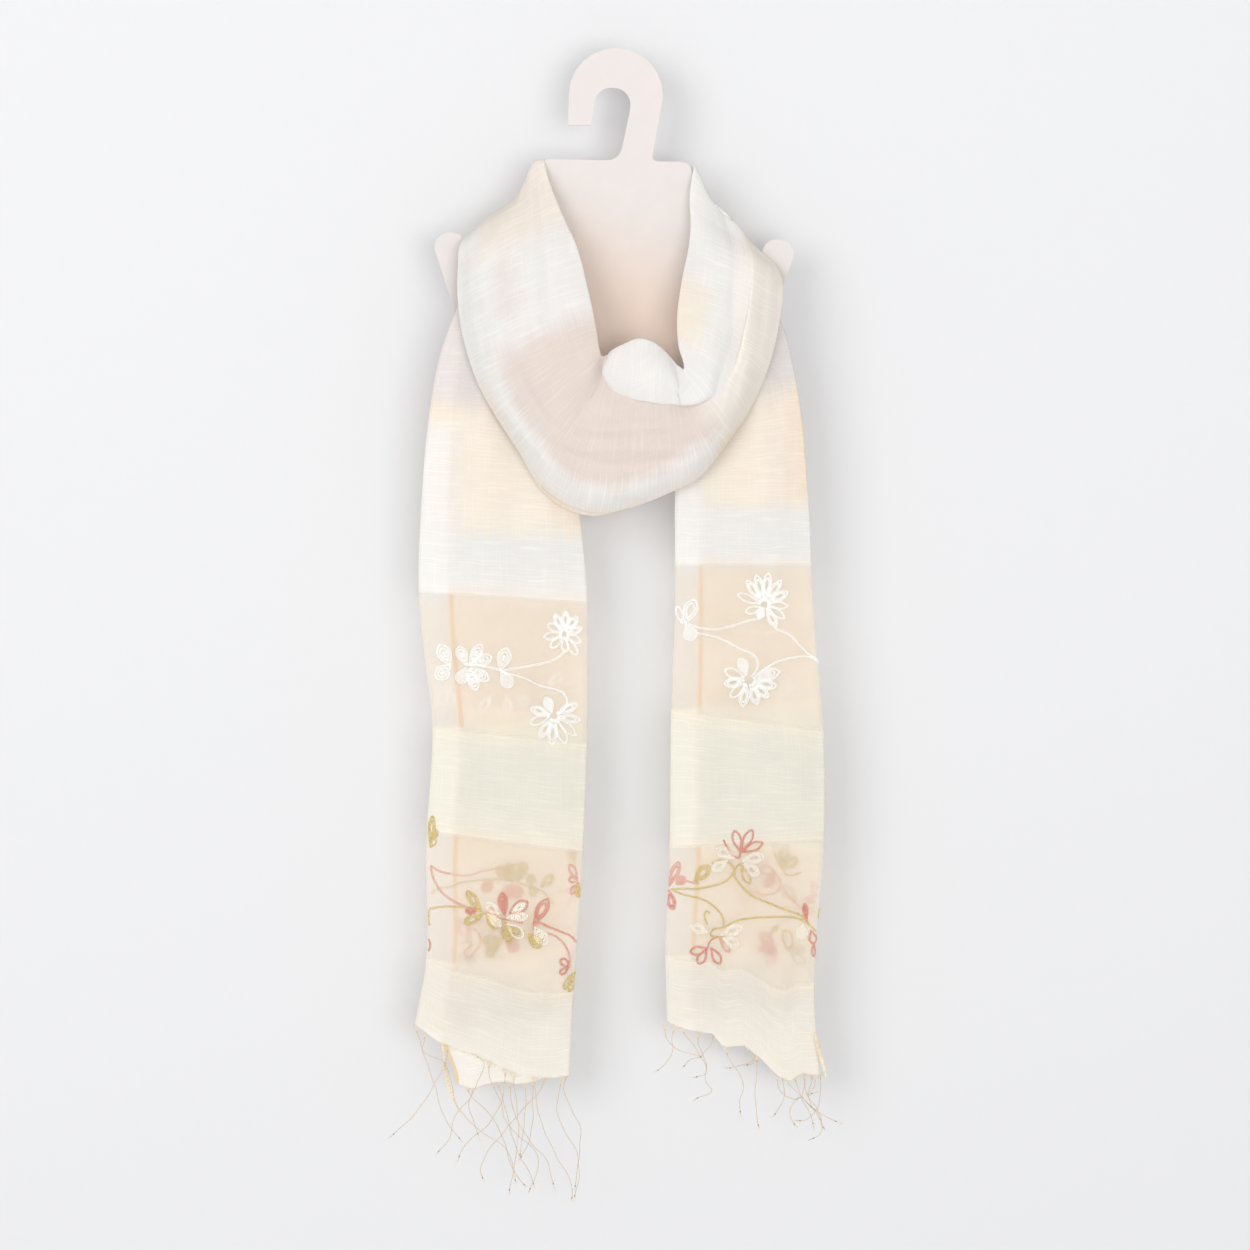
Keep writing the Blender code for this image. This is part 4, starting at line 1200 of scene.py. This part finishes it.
WHITE = tone(248, 247, 245)
IVORY = tone(251, 241, 227)
CREAM = tone(246, 244, 235)
BUTTER = tone(254, 249, 240)
PALE = tone(242, 237, 235)
HEM = tone(245, 241, 233)
COWL_WHITE = tone(247, 246, 244)
ROSE = tone(240, 230, 223)
TAN = tone(248, 241, 232)
LOBE = tone(253, 248, 240)
STRAW = tone(250, 243, 232)
PEACH = tone(243, 228, 208)
SELVEDGE_TONE = tone(238, 213, 179)


class Nodes:
    """A material's node tree, with short calls to add nodes and link them."""

    def __init__(self, name):
        self.material = bpy.data.materials.new(name)
        self.material.use_nodes = True
        self.tree = self.material.node_tree
        self.shader = self.tree.nodes["Principled BSDF"]

    def add(self, kind, **settings):
        node = self.tree.nodes.new(kind)
        for key, value in settings.items():
            setattr(node, key, value)
        return node

    def put(self, socket, value):
        if isinstance(value, bpy.types.NodeSocket):
            self.tree.links.new(value, socket)
        else:
            socket.default_value = value

    def math(self, operation, a, b=0.0, c=None, clamp=False):
        node = self.add("ShaderNodeMath", operation=operation, use_clamp=clamp)
        self.put(node.inputs[0], a)
        self.put(node.inputs[1], b)
        if c is not None:
            self.put(node.inputs[2], c)
        return node.outputs[0]

    def vector(self, x, y, z=0.0):
        node = self.add("ShaderNodeCombineXYZ")
        for socket, value in zip(node.inputs, (x, y, z)):
            self.put(socket, value)
        return node.outputs[0]

    def noise(self, vector, detail, dimensions="2D"):
        node = self.add("ShaderNodeTexNoise", noise_dimensions=dimensions)
        self.put(node.inputs["Vector"], vector)
        for name, value in (("Scale", 1.0), ("Detail", detail), ("Roughness", 0.5)):
            node.inputs[name].default_value = value
        return node.outputs[0]

    def spread(self, value, low, high, to_low, to_high, smooth=False):
        kind = "SMOOTHSTEP" if smooth else "LINEAR"
        node = self.add("ShaderNodeMapRange", interpolation_type=kind)
        for socket, number in zip(node.inputs[:5], (value, low, high, to_low, to_high)):
            self.put(socket, number)
        return node.outputs[0]

    def ramp(self, value, stops):
        node = self.add("ShaderNodeValToRGB")
        node.color_ramp.interpolation = "LINEAR"
        elements = node.color_ramp.elements
        while len(elements) < len(stops):
            elements.new(0.5)
        for element, (position, colour) in zip(elements, stops):
            element.position = position
            element.color = colour
        self.put(node.inputs[0], value)
        return node.outputs[0]

    def times(self, a, b):
        return self.math("MULTIPLY", a, b)

    def mix(self, factor, a, b, blend="MIX"):
        node = self.add("ShaderNodeMix", data_type="RGBA", blend_type=blend)
        self.put(node.inputs[0], factor)
        self.put(node.inputs[6], a)
        self.put(node.inputs[7], b)
        return node.outputs[2]

    def shade(self, colour, level):
        return self.mix(1.0, colour, self.vector(level, level, level), "MULTIPLY")

    def mix_shaders(self, factor, a, b):
        node = self.add("ShaderNodeMixShader")
        for socket, value in zip(node.inputs, (factor, a, b)):
            self.put(socket, value)
        return node.outputs[0]

    def split(self, vector):
        node = self.add("ShaderNodeSeparateXYZ")
        self.put(node.inputs[0], vector)
        return node.outputs

    def cloth_noise(self, u, v, u_scale, v_scale, offset, detail):
        """Noise over the cloth's own places, stretched along or across it."""
        place = self.vector(self.times(u, u_scale), self.times(v, v_scale), offset)
        return self.noise(place, detail)

    def solid_noise(self, place, scale, detail):
        node = self.add("ShaderNodeVectorMath", operation="SCALE")
        self.put(node.inputs[0], place)
        node.inputs["Scale"].default_value = scale
        return self.noise(node.outputs[0], detail, "3D")

    def window(self, value, low, high, soft, smooth=False):
        """1 between low and high, 0 outside, with soft edges."""
        rise = self.spread(value, low - soft, low + soft, 0, 1, smooth)
        return self.times(rise, self.spread(value, high - soft, high + soft, 1, 0, smooth))

    def bump(self, height, strength, distance):
        node = self.add("ShaderNodeBump")
        node.inputs["Strength"].default_value = strength
        node.inputs["Distance"].default_value = distance
        self.put(node.inputs["Height"], height)
        return node.outputs[0]

    def finish(self, surface):
        self.put(self.tree.nodes["Material Output"].inputs["Surface"], surface)
        return self.material


WEAVE_PITCH = 0.0006  # m
BRUSH = 0.008  # m that a block's threads run past its edge
WANDER = 0.014  # m that a block's edge wanders
WAVY = 0.003  # m that a slub wanders
SOFT_U, SOFT_V = 0.009, 0.011  # m over which a block fades
SHEER = 0.37  # how much of the sheer weave is thread
SHEER_SLUBS, SHEER_RELIEF = 0.1, 0.35  # how much of the slubs and the relief it keeps
WEAVE_RELIEF, SLUB_RELIEF = 0.10, 0.8  # shares of the relief
SELVEDGE_U = (2 - SELVEDGE) * TAIL_WIDE * MM  # m from fold F1 to each selvedge
SELVEDGE_WIDE, SELVEDGE_SOFT = 0.0033, 0.0004  # m
SELVEDGE_DENSE = 0.5  # how much more thread a selvedge has
THROUGH_TINT = (1.0, 0.985, 0.965, 1.0)  # what light that passes through the threads keeps

# Woven blocks of colour: metres across from and to, metres along from and to, strength.
Block = namedtuple("Block", "colour u_from u_to v_from v_to strength")


def block_mask(n, block, u, v):
    """Where a block of colour is woven in, 0 to its strength."""
    across = n.window(u, block.u_from, block.u_to, SOFT_U, True)
    along = n.window(v, block.v_from, block.v_to, SOFT_V, True)
    return n.times(n.times(block.strength, across), along)


LIP_SPAN_U, LIP_SPAN_V = 0.15, 0.4  # m of cloth that the lip's line is measured over
LIP_START = 0.166  # m along the cowl
LIP_END = (0.292, 0.306)  # m along the cowl over which the lip's colour fades


def lip_line():
    """Where the cowl's lip tucks the cloth under, as (along, across) in metres."""
    start, end = stretch_ends("cowl")
    line = np.array(CREASES[0].line)
    along = line[:, 0] * (end - start)
    width = np.interp(start + along, ALONG, WIDTHS)
    return [(v * MM, u * MM) for v, u in zip(along, line[:, 1] * width)]


def lip_mask(n, u, v):
    """1 on the cloth of the lip, above the line of its tuck."""
    stops = [(LIP_START, LIP_SPAN_U), *lip_line()]
    stops = [(a / LIP_SPAN_V, (*[b / LIP_SPAN_U] * 3, 1)) for a, b in stops]
    line = n.ramp(n.math("DIVIDE", v, LIP_SPAN_V), stops)
    over = n.math("MULTIPLY_ADD", line, -LIP_SPAN_U, u)
    mask = n.spread(over, -0.001, 0.001, 0, 1, True)
    return n.times(mask, n.spread(v, *LIP_END, 1, 0, True))


def brushed_places(n, u, v, waves):
    """The cloth's places with edges that wander and threads that run past them."""
    threads_u = n.cloth_noise(u, v, 14, 900, 3, 0)
    threads_v = n.cloth_noise(u, v, 900, 14, 0, 0)
    u_back, v_back = (BRUSH - WANDER) / 2, (BRUSH + WANDER) / 2
    u = n.math("MULTIPLY_ADD", threads_u, BRUSH, n.math("SUBTRACT", u, u_back))
    v = n.math("MULTIPLY_ADD", threads_v, BRUSH, n.math("SUBTRACT", v, v_back))
    u = n.math("MULTIPLY_ADD", waves, -WANDER, u)
    return u, n.math("MULTIPLY_ADD", waves, WANDER, v)


def slubs(n, u, v, waves):
    """Thick places in the threads, 0 to 1, both ways."""
    wavy_u = n.math("MULTIPLY_ADD", waves, WAVY, u)
    wavy_v = n.math("MULTIPLY_ADD", waves, -WAVY, v)
    streak_u = n.spread(n.cloth_noise(u, wavy_v, 30, 1000, 7, 1), 0.50, 0.74, 0, 1, True)
    streak_v = n.spread(n.cloth_noise(wavy_u, v, 1000, 24, 9, 1), 0.54, 0.76, 0, 1, True)
    return n.math("ADD", streak_u, n.times(streak_v, 0.5), clamp=True)


def sheer_mask(n, v, bands):
    """1 inside the sheer stretches."""
    masks = [n.window(v, low, high, BAND_EDGE) for low, high in bands]
    mask = masks[0]
    for other in masks[1:]:
        mask = n.math("MAXIMUM", mask, other)
    return mask


def cloth_material(name, base, blocks, bands=(), glow=0.42, lip=None, selvedge=False):
    """Slubbed cloth with woven blocks of colour. bands holds its sheer stretches as
    (from, to) in metres along, and needs a selvedge. glow is how much light passes
    through a thread, and lip is the colour of the cowl's lip."""
    n = Nodes(name)
    u, v, _ = n.split(n.add("ShaderNodeUVMap", uv_map="cloth").outputs[0])
    waves = n.cloth_noise(u, v, 45, 45, 5, 1)
    block_u, block_v = brushed_places(n, u, v, waves)
    colour = base
    for block in blocks:
        colour = n.mix(block_mask(n, block, block_u, block_v), colour, block.colour)
    if lip is not None:
        colour = n.mix(lip_mask(n, u, v), colour, lip)
    streaks = slubs(n, u, v, waves)
    if bands:
        sheer = sheer_mask(n, v, bands)
        streaks = n.times(streaks, n.spread(sheer, 0, 1, 1, SHEER_SLUBS))
    shade = n.spread(waves, 0.3, 0.7, 0.988, 1.008)
    colour = n.shade(colour, n.times(shade, n.spread(streaks, 0, 1, 0.976, 1.035)))
    if selvedge:
        inner = SELVEDGE_U - SELVEDGE_WIDE
        edge = n.spread(n.math("ABSOLUTE", u), inner - SELVEDGE_SOFT, inner, 0, 1)
        colour = n.mix(edge, colour, SELVEDGE_TONE)
    n.put(n.shader.inputs["Base Color"], colour)
    n.shader.inputs["Roughness"].default_value = 0.78
    n.shader.inputs["Specular IOR Level"].default_value = 0
    wave = math.tau / WEAVE_PITCH
    weave = n.times(n.math("SINE", n.times(u, wave)), n.math("SINE", n.times(v, wave)))
    raised = n.math("MULTIPLY_ADD", weave, WEAVE_RELIEF, n.times(streaks, SLUB_RELIEF))
    if bands:
        raised = n.times(raised, n.spread(sheer, 0, 1, 1, SHEER_RELIEF))
    normal = n.bump(raised, 0.3, 0.0004)
    n.put(n.shader.inputs["Normal"], normal)
    through = n.add("ShaderNodeBsdfTranslucent")
    n.put(through.inputs["Color"], n.mix(1.0, colour, THROUGH_TINT, "MULTIPLY"))
    n.put(through.inputs["Normal"], normal)
    surface = n.mix_shaders(glow, n.shader.outputs[0], through.outputs[0])
    if bands:
        threads = n.math("MULTIPLY_ADD", weave, 0.02, SHEER)
        threads = n.math("MULTIPLY_ADD", edge, SELVEDGE_DENSE, threads)
        alpha = n.add("ShaderNodeMix", data_type="FLOAT")
        n.put(alpha.inputs[0], sheer)
        n.put(alpha.inputs[2], 1.0)
        n.put(alpha.inputs[3], threads)
        clear = n.add("ShaderNodeBsdfTransparent").outputs[0]
        surface = n.mix_shaders(alpha.outputs[0], clear, surface)
    return n.finish(surface)


def thread_material(name, colour, rough=0.7, dark=0.84):
    """Spun thread with darker specks between its fibres."""
    n = Nodes(name)
    place = n.add("ShaderNodeTexCoord").outputs["Object"]
    speck = n.spread(n.solid_noise(place, 900, 1), 0.38, 0.58, dark, 1.04)
    n.put(n.shader.inputs["Base Color"], n.shade(colour, speck))
    n.shader.inputs["Roughness"].default_value = rough
    return n.material


CARD_TONE = tone(216, 209, 205)
# The low tone is painted light, not the card's own colour: the warm shade and the cloth-tinted
# light that fall on the card's lower front, where the cloth wraps it.
CARD_PAINTED_LIGHT_TONE = tone(222, 203, 190)
CARD_SLANT = 0.35  # the low tone starts higher on the left
CARD_PAINTED_LIGHT_Z = (-0.07, -0.16)  # m, Z where it starts and where it is full
CARD_SIDES = (0.065, 0.09)  # m each way from the middle, over which it ends
CARD_FRONT = (-0.001, 0)  # m, Y over which it ends


def card_material():
    """Thick matt card with a faint tooth, with painted warm shade and cloth-tinted light low in
    front, where the cloth wraps it.
    """
    n = Nodes("pale_card")
    place = n.add("ShaderNodeTexCoord").outputs["Object"]
    cloud = n.spread(n.solid_noise(place, 60, 2), 0.3, 0.7, 0.985, 1.01)
    x, y, z = n.split(place)
    down = n.math("MULTIPLY_ADD", x, CARD_SLANT, z)
    middle = n.spread(n.math("ABSOLUTE", x), *CARD_SIDES, 1, 0, True)
    # Where the painted warm shade and cloth light go: low, towards the middle, on the front
    # only.
    painted_light = n.times(n.spread(down, *CARD_PAINTED_LIGHT_Z, 0, 1, True), middle)
    painted_light = n.times(painted_light, n.spread(y, *CARD_FRONT, 1, 0))
    colour = n.mix(painted_light, CARD_TONE, CARD_PAINTED_LIGHT_TONE)
    n.put(n.shader.inputs["Base Color"], n.shade(colour, cloud))
    n.shader.inputs["Roughness"].default_value = 0.62
    n.shader.inputs["Specular IOR Level"].default_value = 0.3
    n.put(n.shader.inputs["Normal"], n.bump(n.solid_noise(place, 1500, 2), 0.12, 0.0002))
    return n.material


def matt_material(name, colour, one_sided=False):
    """Flat paint. One that is one-sided shows only from the front, so that the stole can
    be seen from behind."""
    n = Nodes(name)
    n.tree.nodes.remove(n.shader)
    paint = n.add("ShaderNodeBsdfDiffuse")
    paint.inputs["Color"].default_value = colour
    surface = paint.outputs[0]
    if one_sided:
        behind = n.add("ShaderNodeNewGeometry").outputs["Backfacing"]
        clear = n.add("ShaderNodeBsdfTransparent").outputs[0]
        surface = n.mix_shaders(behind, surface, clear)
    return n.finish(surface)


# ---------------------------------------------------------------- stage and camera

VIEW_CENTRE = (7.9, -386.6)  # mm, X and Z
VIEW_SIDE = 900.0  # mm that the picture spans at the object
CAMERA_FAR = 3800.0  # mm
WALL_Y = 38.0  # mm behind the plate's middle
FLOOR_Z = -1150.0  # mm
SIZE = 3000.0  # mm from the middle to the edges of the wall and the floor
SENSOR = 36.0  # mm
AIM = (0, 0, -0.4)  # m, where the lights point


def make_stage():
    sides = ((-1, 0), (1, 0), (1, 1), (-1, 1))
    corners = [(SIZE * x, WALL_Y, SIZE if up else FLOOR_Z) for x, up in sides]
    paint = matt_material("wall", tone(219, 219, 220), True)
    wall = add_mesh("wall", corners, [(0, 1, 2, 3)], paint)
    wall.visible_shadow = False
    wall.visible_diffuse = False
    corners = [(SIZE * x, SIZE if far else -SIZE, FLOOR_Z) for x, far in sides]
    paint = matt_material("floor", tone(238, 238, 238))
    floor = add_mesh("floor", corners, [(0, 1, 2, 3)], paint)


def add_light(name, place, size, power):
    data = bpy.data.lights.new(name, "AREA")
    data.size = size
    data.energy = power
    light = bpy.data.objects.new(name, data)
    light.location = place
    way = Vector(AIM) - Vector(place)
    light.rotation_euler = way.to_track_quat("-Z", "Y").to_euler()
    light.visible_camera = False
    bpy.context.collection.objects.link(light)


def make_light():
    world = bpy.data.worlds.new("studio")
    world.use_nodes = True
    sky = world.node_tree.nodes["Background"]
    sky.inputs[0].default_value = (0.985, 0.99, 1.0, 1)
    sky.inputs[1].default_value = 0.68
    bpy.context.scene.world = world
    add_light("key", (-2.2, -3.4, 0.45), 2.4, 54)
    add_light("front", (1.2, -4.4, -0.9), 3.0, 106)
    add_light("behind", (-0.6, 3.6, 0.2), 2.4, 22)


def make_camera():
    data = bpy.data.cameras.new("camera")
    data.sensor_width = SENSOR
    data.lens = SENSOR * CAMERA_FAR / VIEW_SIDE
    data.clip_end = 50
    camera = bpy.data.objects.new("camera", data)
    camera.location = (VIEW_CENTRE[0] * MM, -CAMERA_FAR * MM, VIEW_CENTRE[1] * MM)
    camera.rotation_euler = (math.pi / 2, 0, 0)
    bpy.context.collection.objects.link(camera)
    bpy.context.scene.camera = camera
    bpy.context.scene.view_settings.view_transform = "Standard"
    bpy.context.scene.cycles.transparent_max_bounces = 8


# ---------------------------------------------------------------- everything


def no_peek(share):
    return share * 0


def cowl_peek(share):
    return PEEK * np.exp(-(((share - PEEK_AT) / PEEK_LONG) ** 2))


def paint_hanger():
    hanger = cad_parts["hanger"]
    if not hanger.material_slots:
        hanger.data.materials.append(None)
    card = card_material()
    for slot in hanger.material_slots:
        slot.link = "OBJECT"
        slot.material = card


WIDE = (-0.3, 0.4)  # m, all across the cloth
TAIL_BLOCKS = (
    Block(CREAM, *WIDE, 0.149, 0.230, 1.0),
    Block(HEM, *WIDE, -0.05, 0.055, 1.0),
    Block(WHITE, *WIDE, 0.337, 0.386, 1.0),
    Block(BUTTER, 0.02, 0.10, 0.386, 0.475, 1.0),
    Block(WHITE, -0.02, 0.026, 0.337, 0.46, 0.9),
    Block(PALE, *WIDE, 0.472, 0.60, 1.0),
)
COWL_BLOCKS = (
    Block(TAN, 0.018, 0.14, -0.05, 0.046, 0.9),
    Block(ROSE, 0.034, 0.047, 0.046, 0.10, 0.5),
    Block(ROSE, 0.020, 0.14, 0.115, 0.284, 1.0),
    Block(STRAW, 0.055, 0.085, 0.305, 0.358, 0.9),
    Block(LOBE, -0.01, 0.031, 0.275, 0.43, 0.9),
    Block(PEACH, -0.02, -0.0004, 0.12, 0.30, 1.0),
)
WRAP_BLOCKS = (Block(WHITE, 0.03, 0.09, 0, 0.2, 0.6),)
TUBE_COLUMNS = 60


def make_tubes():
    """The cowl and the two stretches behind the plate."""
    cowl = cloth_material("cowl_weave", COWL_WHITE, COWL_BLOCKS, glow=0.36, lip=COWL_WHITE)
    wrap = cloth_material("wrap_weave", IVORY, WRAP_BLOCKS)
    for name, material, peek, rows in (
        ("cowl", cowl, cowl_peek, 250),
        ("back_inner", wrap, no_peek, 90),
        ("back_outer", wrap, no_peek, 90),
    ):
        thing, wide, length = make_tube(name, material, peek, rows, TUBE_COLUMNS)


def make_ends():
    """The two hanging ends with their embroidery and fringe."""
    weave = cloth_material("tail_weave", IVORY, TAIL_BLOCKS, selvedge=True)
    sheer = cloth_material("tail_sheer", IVORY, TAIL_BLOCKS, BANDS, selvedge=True)
    cords = (
        thread_material("cord", tone(216, 192, 158)),
        thread_material("knot", tone(176, 146, 112)),
        thread_material("fray", tone(236, 218, 190)),
    )
    threads = {
        "white": thread_material("thread_white", tone(252, 252, 250), 0.6, 0.93),
        "cream": thread_material("thread_cream", tone(251, 245, 232), 0.6),
        "coral": thread_material("thread_coral", tone(229, 146, 128), 0.6, 0.66),
        "rose": thread_material("thread_rose", tone(237, 178, 158), 0.6, 0.72),
        "ochre": thread_material("thread_ochre", tone(223, 199, 126), 0.6, 0.68),
    }
    # The three numbers turn the motifs over for the back: left and right edge, and drop, mm.
    work = {
        "tail_left": (LEFT_PETALS, LEFT_VINES, (-134, -26, 14), LEFT_CORDS, LEFT_RIBBONS),
        "tail_right": (RIGHT_PETALS, RIGHT_VINES, (41, 148, 14), RIGHT_CORDS, RIGHT_RIBBONS),
    }
    for tail in TAILS:
        thing, wide, length, points, layer = make_tail(tail, weave, sheer)
        petals, vines, edges, strands, ribbons = work[tail.name]
        side = tail.name.split("_")[1]
        make_stitches(side, petals, vines, edges, points, layer, threads)
        make_fringe("fringe_" + side, strands, ribbons, points, layer, cords)


make_camera()
make_stage()
make_light()
paint_hanger()
make_tubes()
make_ends()
